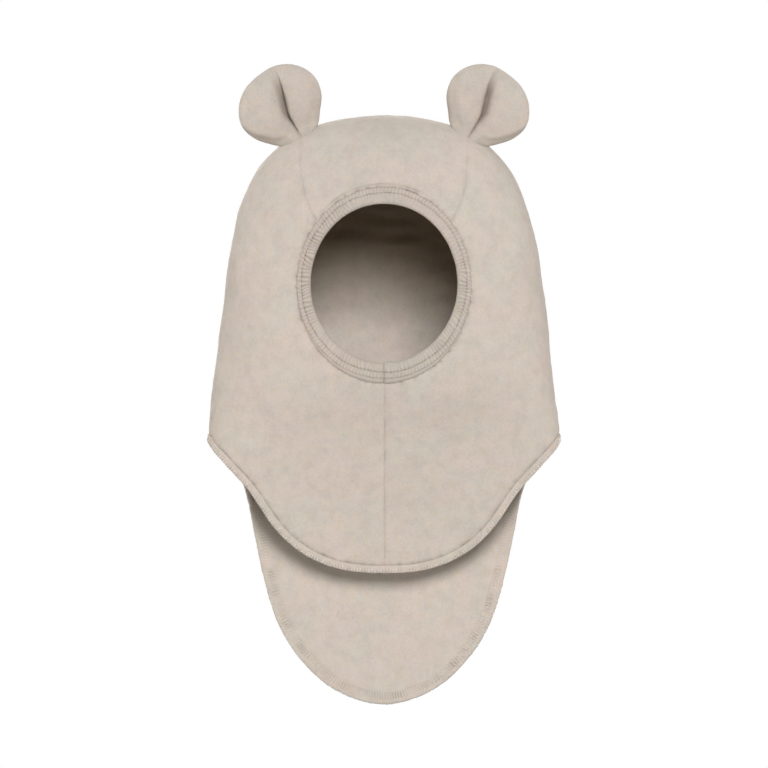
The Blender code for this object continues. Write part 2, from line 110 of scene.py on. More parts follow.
# Relief of the cloth
WAVE_HEIGHT = 0.42 * MM  # the soft unevenness of a hat that hangs empty
WAVE_LENGTH = 62.0 * MM
DIMPLE_HEIGHT = 0.055 * MM  # the felted surface
DIMPLE_LENGTH = 8.0 * MM
SEAM_DEPTH = 0.33 * MM
SEAM_WIDTH = 1.20 * MM
SEAM_ROLLS = (0.10 * MM, 0.22 * MM)  # the cloth stands up beside a crown seam, on the crown and on a side
FRONT_SEAM_ROLL = 0.46 * MM  # and on the wearer's right of the seam below the face
FRONT_SEAM_DIP = 0.26 * MM  # which is a dip on the left
STITCH_DEPTH = 0.25 * MM  # close to the binding and the hem
PUCKER_HEIGHT = 0.16 * MM  # cloth drawn together by the stitches
PUCKER_LENGTH = 7.5 * MM
PUCKER_REACH = 7.0 * MM
TOP_STITCH_SET = 2.0 * MM  # the faint line of stitches above the binding, from its edge
TOP_STITCH_MIDDLE = -5.0 * MM
TOP_STITCH_REACH = 40.0 * MM  # how far it runs to either side of its middle
TOP_STITCH_FADE = 14.0 * MM
TOP_STITCH_DEPTH = 0.30 * MM
CREASE_HEIGHT = 0.36 * MM  # soft creases on the inside

# What stitches do to the cloth beside them: how far it sinks, in mm, and how much painted shade, with
# pressed nap, darkens it close to them and a little further off
Stitches = namedtuple("Stitches", "seed sunk near near_varies far far_place far_reach")
HEM_STITCHES = Stitches(21, 0.34, 0.12, 0.08, 0.20, 0.5 * MM, 1.5 * MM)
RING_STITCHES = Stitches(22, 0.20, 0.26, 0.22, 0.10, 0.0, 2.0 * MM)

# How strongly the ribs show round the face, in relief and in the painted shade between them, from 0 at
# the top, clockwise as the hat is seen
RIB_SHOWS = table(
    "turn strength",
    (0, 0.26), (48, 0.22), (66, 0.38), (80, 0.8), (98, 0.85), (114, 0.52), (136, 0.6), (158, 0.34),
    (176, 0.46), (204, 0.44), (236, 0.34), (252, 0.8), (270, 1), (302, 1), (322, 0.72), (338, 0.4),
    (360, 0.26),
)

# The binding's stitches and ribs
RIB_COUNT = 148
RIB_SAMPLES = 8  # sections of the band for each rib
RIB_HEIGHT = 0.62 * MM
NEEDLE_INNER = (0.640, 0.430)  # needle lines as shares of the width, at the sides and the bottom
NEEDLE_OUTER = (0.985, 0.755)
RIM_GIVE = 0.65 * MM  # the rolled rim is drawn back this far
GROOVE_DEPTH = 0.50 * MM
GROOVE_WIDTH = 0.42 * MM
JOIN_DEPTH = 0.35 * MM  # the groove where the band's ends meet, below the face
LAP_HEIGHT = 0.30 * MM  # the small lap beside it
THREAD_RADIUS = 0.17 * MM
THREAD_SIDES = 6
THREAD_ENDS = 0.55  # the radius of a thread's ends, as a share of the rest
RIM_ROLL = 0.24  # share of the width over which the rim rolls up to its full thickness
NEEDLE_DEPTHS = (1.0, 0.8)  # of GROOVE_DEPTH
RIM_SHARES = 0.30 * (0.5 - 0.5 * np.cos(np.linspace(0.0, pi / 2, 10)))
FRONT_SHARES = (*RIM_SHARES, *np.linspace(0.32, 1.0, 32))  # lines along the band, from the opening out
BACK_SHARES = (0.97, 0.75, 0.5, 0.3, 0.18, 0.08, 0.02)  # and back behind it
EDGE_THREAD_RADIUS = 0.23 * MM

# The hem's stitches
HEM_STATION = 0.36 * MM  # from one section of the band to the next
HEM_BUMP = 1.75 * MM  # from one thread to the next along the edge
HEM_BUMP_HEIGHT = 0.44 * MM
HEM_FLAT = 0.75  # share of its rise over the cloth that the hem loses at the sides
HEM_FLAT_REACH = 6.0 * MM  # and how far in from there
HEM_GRAIN = 0.09 * MM  # fine unevenness of its outer face
LOOPER_PITCH = 1.7 * MM  # the ladder of thread on the inside
LOOPER_DEPTH = 0.15 * MM  # how far it sinks into the cloth
LOOPER_REACH = (2.8 * MM, 6.3 * MM)  # from the free edge up to the raw edge

# The hem's outline across, as shares of its width and thickness: its outer face from the free edge,
# and its inner face back to it from the raw edge, which lies on the inside of the cloth
HEM_OUTER = (
    (0, 0.1), (0.02, 0.22), (0.06, 0.33), (0.12, 0.4), (0.22, 0.44), (0.36, 0.455), (0.52, 0.455),
    (0.66, 0.445), (0.78, 0.42), (0.88, 0.385), (0.95, 0.35), (1, 0.3),
)
HEM_INNER = (
    (1, 0.31), (1.45, 0.31), (1.46, 0.35), (1.42, 0.375), (1.35, 0.385), (1.25, 0.385), (1, 0.385),
    (0.72, 0.385), (0.62, 0.385), (0.54, 0.385), (0.4, 0.38), (0.28, 0.37), (0.15, 0.34), (0.07, 0.29),
    (0.02, 0.2), (0, 0.1),
)

# Level sections of the hood's outer face. drop is a share of CROWN_TO_SHOULDER, half_width of half
# of SHOULDER_WIDTH, front of FRONT_DEPTH and back of BACK_DEPTH.
SECTIONS = table(
    "drop half_width front back",
    (0, 0, 0, 0), (0.0138, 0.283, 0.31, 0.31), (0.0568, 0.503, 0.545, 0.565),
    (0.0998, 0.609, 0.66, 0.69), (0.1674, 0.717, 0.77, 0.81), (0.2596, 0.802, 0.875, 0.925),
    (0.4132, 0.87, 0.965, 1), (0.5668, 0.909, 1, 0.98), (0.7819, 0.955, 0.92, 0.79), (1, 1, 0.63, 0.45),
    (1.404, 1.031, 0.24, 0.085), (1.81, 1.037, 0.18, 0.06), (2.8, 1.04, 0.18, 0.055),
)

# The hem below the bib and round the flap. drop is a share of BIB_LENGTH and then of FLAP_LENGTH,
# from the shoulder down.
FRONT_HEM = table(
    "turn drop",
    (0, 1), (12.4, 0.977), (23.2, 0.892), (31.6, 0.772), (39.6, 0.603), (50.4, 0.349), (59.4, 0.22),
    (66.1, 0.144), (75.4, 0.068), (90, 0),
)
BACK_HEM = table(
    "turn drop",
    (90, 0), (110, 0.045), (120, 0.095), (126.2, 0.138), (128.8, 0.178), (132.6, 0.29), (136.8, 0.452),
    (141.3, 0.605), (147.9, 0.757), (153.2, 0.833), (164.9, 0.947), (180, 1),
)

# The seams beside the crown panel. along is -1 at the binding, 0 over the top and 1 at the hem.
SEAM_HALF_WIDTH = 0.2378 * SHOULDER_WIDTH
SEAM_FACE_TURN = radians(50.0)  # where they start, round the binding from its top
SEAM_HEM_TURN = radians(117.0)  # and where they end, round the hood
SEAM = table(
    "along half_width",
    (-0.86, 0.884), (-0.74, 0.941), (-0.61, 0.976), (-0.38, 0.995), (0, 1), (0.17, 1.02), (0.34, 1.07),
    (0.51, 1.15), (0.68, 1.27), (0.85, 1.45),
)

# The rim of an ear, by the angle from straight up, positive towards the middle of the hood
EAR_RIM = table(
    "turn radius",
    (-160, 0.962), (-143, 0.945), (-120, 0.99), (-100, 1.022), (-75, 0.968), (-45, 0.888), (-15, 0.84),
    (15, 0.905), (45, 0.978), (70, 1.012), (95, 0.975), (120, 0.92), (140, 0.975), (160, 0.975),
    (180, 0.945),
)

# The fold up an ear: its place across the ear and its depth, in shares of EAR_RADIUS
EAR_FOLD = table(
    "up across depth",
    (-1.1, 0.24, 0), (-0.84, 0.19, 0.08), (-0.65, 0.145, 0.16), (-0.47, 0.128, 0.235),
    (-0.28, 0.121, 0.29), (-0.08, 0.144, 0.29), (0.1, 0.17, 0.27), (0.25, 0.178, 0.23),
    (0.43, 0.178, 0.15), (0.65, 0.16, 0.06), (0.85, 0.152, 0.02), (1.1, 0.15, 0),
)
FOLD_SHIFT = 0.45 * MM  # the wearer's right ear is folded this much nearer the middle
FOLD_FLOOR = 2.0 * MM  # the width of the fold's floor that shows
FOLD_SOFT_SIDE = 6.5 * MM  # the outer lobe dips towards the fold over this distance
FOLD_SHARP_SIDE = 0.6 * MM  # and the inner lobe over this one
FOLD_CLOSED = 0.38  # towards the foot the fold narrows to this share of its width
FOLD_OVERLAP = 1.7 * MM  # how far the inner lobe leans over the fold
LOBE_RISE = 0.6 * MM  # the inner lobe bulges this much beside the fold
UNDER_SEAM_DEPTH = 0.50 * MM
UNDER_STRIP_DEPTH = 1.0 * MM  # the strip of the underside lies this much lower
INNER_LINE_DEPTH = 0.40 * MM
EAR_DARKENING = 0.05  # how far an ear's colour is darkened all over
# Painted shade in the fold up each ear: how strong it is and how far it reaches from the fold
FoldShade = namedtuple("FoldShade", "pressed reach")
FOLD_SHADES = {1: FoldShade(0.84, 2.1 * MM), -1: FoldShade(0.54, 3.2 * MM)}  # by the wearer's side; weaker on the right, whose fold lies deeper in the lamps' own shade
FOOT_FLARE = 7.0 * MM  # how far the ear's foot runs out over the crown
FOOT_FLARE_HEIGHT = 6.0 * MM
FOOT_CALM = 22.0 * MM  # the crown is drawn smooth this far round an ear's foot

# Soft lines on an ear, as (across, up) in shares of EAR_RADIUS
EAR_UNDER_SEAM = (
    (-1.04, -0.18), (-0.85, -0.41), (-0.71, -0.53), (-0.54, -0.65), (-0.34, -0.74), (-0.11, -0.79),
    (-0.06, -0.86),
)
EAR_INNER_LINE = ((0.86, 0.40), (0.80, -0.04), (0.57, -0.48), (0.44, -0.61), (0.33, -0.78))

Look = namedtuple("Look", "colour pink green shade")
FLEECE = Look((0.620, 0.556, 0.496), (0.637, 0.555, 0.500), (0.606, 0.562, 0.498), 0.085)
RIB = Look((0.582, 0.518, 0.462), (0.596, 0.517, 0.465), (0.568, 0.523, 0.460), 0.070)
THREAD = Look((0.690, 0.624, 0.560), (0.700, 0.622, 0.560), (0.680, 0.628, 0.555), 0.040)
EDGE_THREAD = Look((0.800, 0.735, 0.670), (0.810, 0.733, 0.670), (0.790, 0.739, 0.665), 0.040)
WOOL_SHADER = {
    "Roughness": 0.92, "Specular IOR Level": 0.25,
    "Sheen Weight": 0.18, "Sheen Roughness": 0.55, "Sheen Tint": (1.0, 0.95, 0.88, 1.0),
}
PRESSED_AND_SHADE_SHOWS = 0.77  # how strongly painted shade and pressed nap show along the stitches, seams and ribs
PRESSED_NAP_AND_SHADE = (0.30, 0.27, 0.24)  # the colour at full painted shade and pressed nap, in grooves, seams and folds
COOL_TINGE = (0.990, 0.995, 1.020)  # small smudges of cooler and warmer wool
WARM_TINGE = (1.015, 0.998, 0.972)
INSIDE_SHADE_TINT = (0.77, 0.73, 0.665)  # painted shade inside the crown, darker and warmer towards its top

# The studio
PICTURE_SPAN = 0.44544  # the picture's 768 pixels, at 0.58 mm each
CAMERA_PLACE = (0.0, -1.6, -0.15324)
LIT_POINT = Vector((0.0, 0.0, -0.13))  # where the lights are turned to
FLOOR_REACH = 9.0
FLOOR_DROP = 2.20
WHITE = (1.0, 1.0, 1.0)
WARM, WARMER = (1.0, 0.975, 0.94), (1.0, 0.965, 0.91)
FLOOR_SHADER = {
    "Base Color": (0.86, 0.86, 0.86, 1.0), "Roughness": 0.9,
    "Emission Color": (*WHITE, 1.0), "Emission Strength": 0.62,
}


def chords(rows):
    """Rows of numbers as points, the gaps between them and the slopes along those."""
    points = np.array(rows, float)
    gaps = np.linalg.norm(np.diff(points, axis=0), axis=1)
    return points, gaps, np.diff(points, axis=0) / gaps[:, None]


def smooth_curve(rows):
    """A dense Catmull-Rom curve through rows of numbers, spaced by the chords between them."""
    points, gaps, slopes = chords(rows)
    inner = (slopes[:-1] * gaps[1:, None] + slopes[1:] * gaps[:-1, None]) / (gaps[:-1] + gaps[1:])[:, None]
    tangents = np.vstack([slopes[:1], inner, slopes[-1:]])
    t = np.linspace(0.0, 1.0, CURVE_SAMPLES, endpoint=False)[:, None]
    curve = [
        (2 * t**3 - 3 * t**2 + 1) * points[i]
        + (t**3 - 2 * t**2 + t) * gap * tangents[i]
        + (3 * t**2 - 2 * t**3) * points[i + 1]
        + (t**3 - t**2) * gap * tangents[i + 1]
        for i, gap in enumerate(gaps)
    ]
    return np.vstack([*curve, points[-1:]])


def springy_curve(rows):
    """A dense curve through rows of numbers that bends evenly, as a thin strip of metal would."""
    points, gaps, slopes = chords(rows)
    system = np.eye(len(points))
    change = np.zeros(points.shape)
    for i in range(1, len(points) - 1):
        system[i, i - 1 : i + 2] = gaps[i - 1], 2 * (gaps[i - 1] + gaps[i]), gaps[i]
        change[i] = 6 * (slopes[i] - slopes[i - 1])
    bends = np.linalg.solve(system, change)
    b = np.linspace(0.0, 1.0, CURVE_SAMPLES, endpoint=False)[:, None]
    a = 1 - b
    curve = [
        a * points[i] + b * points[i + 1] + ((a**3 - a) * bends[i] + (b**3 - b) * bends[i + 1]) * gap**2 / 6
        for i, gap in enumerate(gaps)
    ]
    return np.vstack([*curve, points[-1:]])


def unit(vectors):
    """Vectors made 1 long."""
    return vectors / np.linalg.norm(vectors, axis=-1, keepdims=True)


def climb(value, length):
    """How far a value has come along a length, from 0 to 1."""
    return np.clip(value / length, 0.0, 1.0)


def lengths_along(path):
    """The length along a path up to each of its points."""
    return np.concatenate([[0.0], np.cumsum(np.linalg.norm(np.diff(path, axis=0), axis=1))])


def evenly(path, step):
    """The same path with points about a step apart, both ends kept."""
    lengths = lengths_along(path)
    count = max(2, int(round(lengths[-1] / step)) + 1)
    places = np.linspace(0.0, lengths[-1], count)
    return np.column_stack([np.interp(places, lengths, path[:, k]) for k in range(path.shape[1])])


def section_tables():
    """Drops, with half width, front and back depth squared there, which stay smooth at the crown."""
    scale = np.array([CROWN_TO_SHOULDER, SHOULDER_WIDTH / 2, FRONT_DEPTH, BACK_DEPTH])
    rows = np.array(SECTIONS) * scale
    mirrored = rows[1] * np.array([1.0, -1.0, -1.0, -1.0])
    curve = smooth_curve([mirrored, *rows])[CURVE_SAMPLES:]
    drop, squares = curve[:, 0], curve[:, 1:] ** 2
    return drop, squares, np.gradient(squares, drop, axis=0)


DROPS, SQUARES, SQUARE_SLOPES = section_tables()
FOLD_LENGTHS = lengths_along(np.column_stack([DROPS, np.sqrt(SQUARES[:, 0])]))


def squares_at(drop, forward, squares=SQUARES):
    """Half width and depth squared, or their slopes, at each drop, in front of the sides or behind."""
    width, front, back = (np.interp(drop, DROPS, squares[:, k]) for k in range(3))
    return width, np.where(forward, front, back)


def on_hood(turn, drop):
    """Points of the hood's outer face, for turns in radians and drops."""
    turn, drop = np.broadcast_arrays(np.asarray(turn, float), np.asarray(drop, float))
    width, depth = squares_at(drop, np.cos(turn) > 0)
    return np.stack([np.sqrt(width) * np.sin(turn), -np.sqrt(depth) * np.cos(turn), WALL - drop], axis=-1)


def on_front(x, drop):
    """The point of the hood's front at x."""
    width, depth = squares_at(drop, True)
    return np.stack([x, -np.sqrt(depth * np.maximum(0.0, 1 - x**2 / width)), WALL - drop], axis=-1)


def turn_of(points):
    """The turn round the hood of points on it."""
    width, depth = squares_at(WALL - points[:, 2], points[:, 1] < 0)
    return np.arctan2(points[:, 0] / np.sqrt(width), -points[:, 1] / np.sqrt(depth))


def outward(points):
    """Unit normals of the hood's outer face."""
    x, y, drop = points[:, 0], points[:, 1], np.maximum(WALL - points[:, 2], 1e-7)
    width, depth = squares_at(drop, y < 0)
    width_slope, depth_slope = squares_at(drop, y < 0, SQUARE_SLOPES)
    ratio = width / depth
    rise = x**2 / width * width_slope + y**2 / depth * ratio * depth_slope
    return unit(np.column_stack([2 * x, 2 * y * ratio, rise]))


def raised(points, height):
    """Points moved out from the hood's outer face."""
    return points + outward(points) * height[:, None]


def halved(low, high, holds, rounds):
    """Two close bounds of where a test stops to hold, found by halving."""
    for _ in range(rounds):
        middle = (low + high) / 2
        held = holds(middle)
        low, high = np.where(held, middle, low), np.where(held, high, middle)
    return low, high


def over_crown(flat):
    """Points of the hood laid out flat as (x, run), where run goes back over the crown from its top."""
    x, run = flat[:, 0], flat[:, 1]
    quarter = AXIS_DROP * pi / 2
    angle = np.clip(run / AXIS_DROP, -pi / 2, pi / 2)

    def inside(reach):
        drop = AXIS_DROP - reach * np.cos(angle)
        y = reach * np.sin(angle)
        width, depth = squares_at(np.maximum(drop, 1e-9), y < 0)
        return (drop > 0) & (x**2 / width + y**2 / depth < 1)

    farthest = np.full(len(x), FRONT_DEPTH + BACK_DEPTH + AXIS_DROP)
    reach, _ = halved(np.zeros(len(x)), farthest, inside, rounds=40)
    drop = AXIS_DROP - reach * np.cos(angle) + np.maximum(np.abs(run) - quarter, 0.0)
    width, depth = squares_at(drop, run < 0)
    straight = np.sqrt(depth * np.maximum(0.0, 1 - x**2 / width))
    y = np.where(np.abs(run) > quarter, np.sign(run) * straight, reach * np.sin(angle))
    return np.column_stack([x, y, WALL - drop])


def run_of(points):
    """Where points of the hood lie once laid out flat over the crown, as (x, run)."""
    height = AXIS_DROP - (WALL - points[:, 2])
    angle = np.arctan2(points[:, 1], np.maximum(height, 0.0))
    below = np.maximum(-height, 0.0) * np.sign(points[:, 1])
    return np.column_stack([points[:, 0], angle * AXIS_DROP + below])


def side_flat(points):
    """Where points of the hood lie once a side panel is laid out flat."""
    down = np.interp(WALL - points[:, 2], DROPS, FOLD_LENGTHS)
    return np.column_stack([turn_of(points) * SIDE_SCALE, down])


def side_layout(flat):
    """Points of the hood laid out flat as a side panel."""
    return on_hood(flat[:, 0] / SIDE_SCALE, np.interp(flat[:, 1], FOLD_LENGTHS, DROPS))


def binding_line(share, angles):
    """A line round the face opening. share is 0 at the opening and 1 at the binding's outer edge."""
    half_height = FACE_HEIGHT / 2 + share * (BINDING_TOP + BINDING_BOTTOM) / 2
    middle = FACE_DROP + share * (BINDING_BOTTOM - BINDING_TOP) / 2
    x = (FACE_WIDTH / 2 + share * BINDING_SIDE) * np.sin(angles)
    return on_front(x, middle - half_height * np.cos(angles))


def inward_from(line):
    """Unit directions that lie in the cloth and point up from the hem into it."""
    tangent = np.gradient(line, axis=0)
    if abs(line[0, 0]) < 1e-6:
        tangent[0] = (1.0, 0.0, 0.0)
    if abs(line[-1, 0]) < 1e-6:
        tangent[-1] = (-1.0, 0.0, 0.0)
    return unit(np.cross(outward(line), tangent))


def moved_on_hood(points, direction, distance):
    """Points moved along the cloth and set back on it."""
    moved = points + direction * distance
    return on_hood(turn_of(moved), WALL - moved[:, 2])


def half_hem(step):
    """The hood's lower edge on the wearer's left, from the middle of the bib to the tip of the flap."""
    rows = [(radians(r.turn) * SIDE_SCALE, r.drop * BIB_LENGTH) for r in FRONT_HEM]
    rows += [(radians(r.turn) * SIDE_SCALE, r.drop * FLAP_LENGTH) for r in BACK_HEM[1:]]
    before = [(-across, drop) for across, drop in rows[3:0:-1]]
    after = [(2 * rows[-1][0] - across, drop) for across, drop in rows[-2:-5:-1]]
    curve = springy_curve([*before, *rows, *after])[3 * CURVE_SAMPLES : -3 * CURVE_SAMPLES]
    return evenly(on_hood(curve[:, 0] / SIDE_SCALE, CROWN_TO_SHOULDER + curve[:, 1]), step)


def seam_line(hem_edge, step):
    """The seam on the wearer's left laid out flat, from the binding over the crown to the hem."""
    start = run_of(binding_line(1.0, np.array([SEAM_FACE_TURN])))[0]
    end = run_of(hem_edge)[-1]
    runs = (-start[1], end[1])
    middle = [(r.half_width * SEAM_HALF_WIDTH, r.along * runs[r.along > 0]) for r in SEAM]
    return evenly(smooth_curve([start, *middle, end]), step)


def left_of(tangent):
    """Unit directions to the left of a flat line's own."""
    return unit(np.column_stack([-tangent[:, 1], tangent[:, 0]]))


def beside(flat, distance):
    """A flat line moved sideways, to the left of its direction."""
    return flat + left_of(np.gradient(flat, axis=0)) * distance


def depth_inside(outline, points):
    """How far points lie inside a closed flat outline, negative outside it."""
    within = np.zeros(len(points), bool)
    nearest = np.full(len(points), np.inf)
    for p, q in zip(outline, np.roll(outline, -1, axis=0)):
        crosses = (p[1] > points[:, 1]) != (q[1] > points[:, 1])
        if p[1] != q[1]:
            crossing = p[0] + (q[0] - p[0]) * (points[:, 1] - p[1]) / (q[1] - p[1])
            within ^= crosses & (points[:, 0] < crossing)
        along = np.clip(((points - p) @ (q - p)) / max((q - p) @ (q - p), 1e-18), 0.0, 1.0)
        offset = points - p - along[:, None] * (q - p)
        nearest = np.minimum(nearest, offset[:, 0] ** 2 + offset[:, 1] ** 2)
    return np.where(within, 1.0, -1.0) * np.sqrt(nearest)


def edge_rows(outline, insets):
    """Rows of points that follow a closed flat outline inside it."""
    following = np.roll(outline, -1, axis=0)
    left = left_of(following - np.roll(outline, 1, axis=0))
    turned = np.sum(outline[:, 0] * following[:, 1] - outline[:, 1] * following[:, 0]) < 0
    inward = -left if turned else left
    rows = []
    for inset in insets:
        row = outline + inward * inset
        rows.append(row[depth_inside(outline, row) > 0.9 * inset])
    return rows


def lattice_over(outline, step):
    """An even lattice of points over the box round an outline."""
    low, high = outline.min(0), outline.max(0)
    rise = step * sqrt(0.75)
    columns, rows = (int(n) + 2 for n in (high - low) / (step, rise))
    i, j = np.meshgrid(np.arange(columns), np.arange(rows))
    return np.column_stack([
        (low[0] + (i + 0.5 * (j % 2)) * step).ravel(), (low[1] + j * rise).ravel()
    ])


def filled(outline, inner):
    """Triangles over a closed flat outline and the points inside it, facing up."""
    points = np.vstack([outline, inner])
    edges = [(i, (i + 1) % len(outline)) for i in range(len(outline))]
    flat, _, faces, origins, _, _ = delaunay_2d_cdt([tuple(p) for p in points], edges, [], 1, 1e-9)
    first = [o[0] for o in origins]
    triangles = []
    for a, b, c in faces:
        turned = (flat[b] - flat[a]).cross(flat[c] - flat[a]) < 0
        triangles.append((first[a], first[c], first[b]) if turned else (first[a], first[b], first[c]))
    return points, triangles


def soft_noise(points, wavelength, seed, waves=28):
    """A smooth height at each point, the same on every run, that spreads as much as 1 either way."""
    chance = np.random.default_rng(seed)
    directions = unit(chance.normal(size=(waves, 3)))
    directions *= tau / wavelength * chance.uniform(0.7, 1.35, (waves, 1))
    phases = chance.uniform(0.0, tau, waves)
    return np.cos(points @ directions.T + phases).sum(1) * sqrt(2 / waves)


def nearest_on(line, points):
    """The distance from each point to a line, and how far along the line that is."""
    tree = kdtree.KDTree(len(line))
    for i, place in enumerate(line):
        tree.insert(place, i)
    tree.balance()
    index, distance = zip(*(tree.find(place)[1:] for place in points))
    return np.array(distance), lengths_along(line)[list(index)]


def bell(distance, width):
    """1 at no distance, falling off softly over a width."""
    return np.exp(-((distance / width) ** 2))


class Hood:
    """The hood's lines that its pieces share, all on the wearer's left unless named whole."""

    def __init__(self):
        hem = half_hem(CLOTH_STEP)
        self.hem_edge = moved_on_hood(hem, inward_from(hem), HEM_WIDTH)
        self.side_part = turn_of(hem) < SEAM_HEM_TURN
        self.seam = seam_line(self.hem_edge[self.side_part], CLOTH_STEP)
        fine_hem = evenly(self.hem_edge, FINE_STEP)
        self.whole_hem_edge = np.vstack([fine_hem, fine_hem[::-1] * MIRROR])
        fine_seam = over_crown(evenly(self.seam, FINE_STEP))
        self.seams = (fine_seam, fine_seam * MIRROR)
        self.ring = binding_line(1.0, np.linspace(0.0, tau, 1400))
        self.front_top = FACE_DROP + FACE_HEIGHT / 2 + BINDING_BOTTOM
        self.front_bottom = WALL - self.hem_edge[0, 2]

    def measure(self, points):
        """Keeps how far points are from the hem and from the binding, and where along them."""
        self.hem_distance, self.hem_along = nearest_on(self.whole_hem_edge, points)
        self.ring_distance, self.ring_along = nearest_on(self.ring, points)


def away_from_ears(points):
    """0 at the feet of the ears and 1 away from them."""
    across = EAR_ACROSS - 1.25 * EAR_RADIUS * sin(EAR_LEAN)
    foot = np.array([across, EAR_SETBACK - 5 * MM, -8 * MM])
    offset = np.column_stack([np.abs(points[:, 0]), points[:, 1:]]) - foot
    return 1 - np.minimum(1.0, 2 * bell(np.linalg.norm(offset, axis=1), FOOT_CALM))


def cloth_waves(points, hood):
    """The soft waves of the cloth, which both its faces share, stilled where it is sewn."""
    waves = soft_noise(points, WAVE_LENGTH, 11) + 0.4 * soft_noise(points, WAVE_LENGTH / 2.4, 12)
    stilled = 0.85 * bell(hood.ring_distance, 12 * MM) + 0.95 * bell(hood.hem_distance, 12 * MM)
    return WAVE_HEIGHT * waves * (1 - np.minimum(stilled, 0.95)) * away_from_ears(points)


def line_noise(along, wavelength, seed):
    """A soft noise along a line."""
    return soft_noise(np.column_stack([along, 0 * along, 0 * along]), wavelength, seed)


def outer_relief(points, hood, side):
    """How far the outer face stands out: felt, puckers and grooves at the stitches, and the seams.

    Also how much painted shade, with pressed nap, darkens each point, from 0 to 1, most in the grooves."""
    shift = DIMPLE_HEIGHT * soft_noise(points, DIMPLE_LENGTH, 31)
    shift += 0.5 * DIMPLE_HEIGHT * soft_noise(points, DIMPLE_LENGTH / 2.2, 32)
    shift *= away_from_ears(points)
    pressed = np.zeros(len(points))
    for stitches, distance, along in (
        (HEM_STITCHES, hood.hem_distance, hood.hem_along),
        (RING_STITCHES, hood.ring_distance, hood.ring_along),
    ):
        beat = line_noise(along, PUCKER_LENGTH / 2, stitches.seed)
        shift += PUCKER_HEIGHT * beat * bell(distance - 1.5 * MM, PUCKER_REACH / 2)
        sunk = (stitches.sunk + 0.10 * beat) * MM * bell(distance, 2.6 * MM)
        shift -= STITCH_DEPTH * bell(distance, 0.8 * MM) + sunk
        # painted shade with pressed nap along the stitches, and fainter a little further off
        pressed += np.clip(stitches.near + stitches.near_varies * beat, 0, 1) * bell(distance, 0.7 * MM)
        further = bell(distance - stitches.far_place, stitches.far_reach)
        pressed += np.clip(stitches.far + 0.10 * beat, 0, 1) * further
    for line in hood.seams:
        distance, along = nearest_on(line, points)
        drawn = 0.75 + 0.35 * line_noise(along, 9 * MM, 23)
        drawn *= 0.15 + 0.85 * climb(WALL - points[:, 2] - 16 * MM, 16 * MM)
        shift += drawn * SEAM_ROLLS[abs(side)] * bell(distance - 2.2 * MM, 1.4 * MM)
        shift -= drawn * SEAM_DEPTH * bell(distance, SEAM_WIDTH)
        # painted shade with pressed nap in the seam's groove
        pressed += drawn * (0.20 * bell(distance, 0.8 * MM) + 0.08 * bell(distance, 1.8 * MM))
    seam = top_stitch_relief(points, hood) if side == 0 else front_seam_relief(points, hood, side)
    return shift + seam[0], np.clip(PRESSED_AND_SHADE_SHOWS * (pressed + seam[1]), 0.0, 1.0)


def top_stitch_relief(points, hood):
    """The faint line of stitches above the binding, the low roll of cloth between them, and painted shade
    along the line.
    """
    reach = climb(TOP_STITCH_REACH - np.abs(points[:, 0] - TOP_STITCH_MIDDLE), TOP_STITCH_FADE)
    reach *= np.clip(0.90 + 0.35 * line_noise(hood.ring_along, 8 * MM, 24), 0.3, 1.0)
    reach *= (points[:, 2] > -0.75 * FACE_DROP) & (points[:, 1] < 0)
    line = reach * bell(hood.ring_distance - TOP_STITCH_SET, 0.45 * MM)
    roll = reach * bell(hood.ring_distance - 0.45 * TOP_STITCH_SET, 0.7 * MM)
    return TOP_STITCH_DEPTH * (roll - line), 0.40 * line


def front_seam_relief(points, hood, side):
    """The seam below the face: a narrow raised roll on the wearer's right, a soft dip on the left with
    painted shade in it.
    """
    distance = np.abs(points[:, 0])
    drop = WALL - points[:, 2]
    below = climb(drop - hood.front_top + 2 * MM, 4 * MM) * (points[:, 1] < 0)
    below = below * np.clip(0.8 + 0.25 * line_noise(drop, 11 * MM, 25), 0.0, 1.2)
    if side < 0:
        shift = FRONT_SEAM_ROLL * bell(distance - 1.0 * MM, 0.8 * MM)
        return below * shift, 0 * shift
    shift = 0.10 * MM * bell(distance - 3.2 * MM, 1.6 * MM) - FRONT_SEAM_DIP * bell(distance, 1.3 * MM)
    return below * shift, below * (0.13 * bell(distance, 0.9 * MM) + 0.07 * bell(distance, 2.4 * MM))


def inner_relief(points, hood):
    """How far the inner face stands out, with felt and soft creases, and how much painted shade it gets,
    more towards the crown's top.
    """
    shift = DIMPLE_HEIGHT * soft_noise(points, DIMPLE_LENGTH, 33)
    creases = soft_noise(points * (0.35, 0.35, 1.0), 11 * MM, 35)
    shift += CREASE_HEIGHT * creases * climb(hood.hem_distance - 20 * MM, 20 * MM)
    inside_shade = climb(points[:, 2] / CROWN_TO_SHOULDER + 0.64, 0.24)
    return shift, inside_shade


def shown(name, data):
    """A new object in the scene."""
    made = bpy.data.objects.new(name, data)
    bpy.context.scene.collection.objects.link(made)
    return made


def add_mesh(name, points, faces, look, sharp=CLOTH_SHARP, pressed=None, inside_shade=None):
    """A named mesh with smooth shading, and at each point how much painted shade and pressed nap darken it,
    and how much painted shade it gets inside the crown.
    """
    mesh = bpy.data.meshes.new(name)
    mesh.from_pydata([tuple(p) for p in points], [], faces)
    mesh.shade_smooth()
    mesh.set_sharp_from_angle(angle=radians(sharp))
    mesh.materials.append(look)
    for mark, values in (("pressed", pressed), ("inside_shade", inside_shade)):
        kept = mesh.attributes.new(mark, "FLOAT", "POINT")
        kept.data.foreach_set("value", np.zeros(len(points)) if values is None else values)
    made = shown(name, mesh)
    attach(made, "root")
    return made


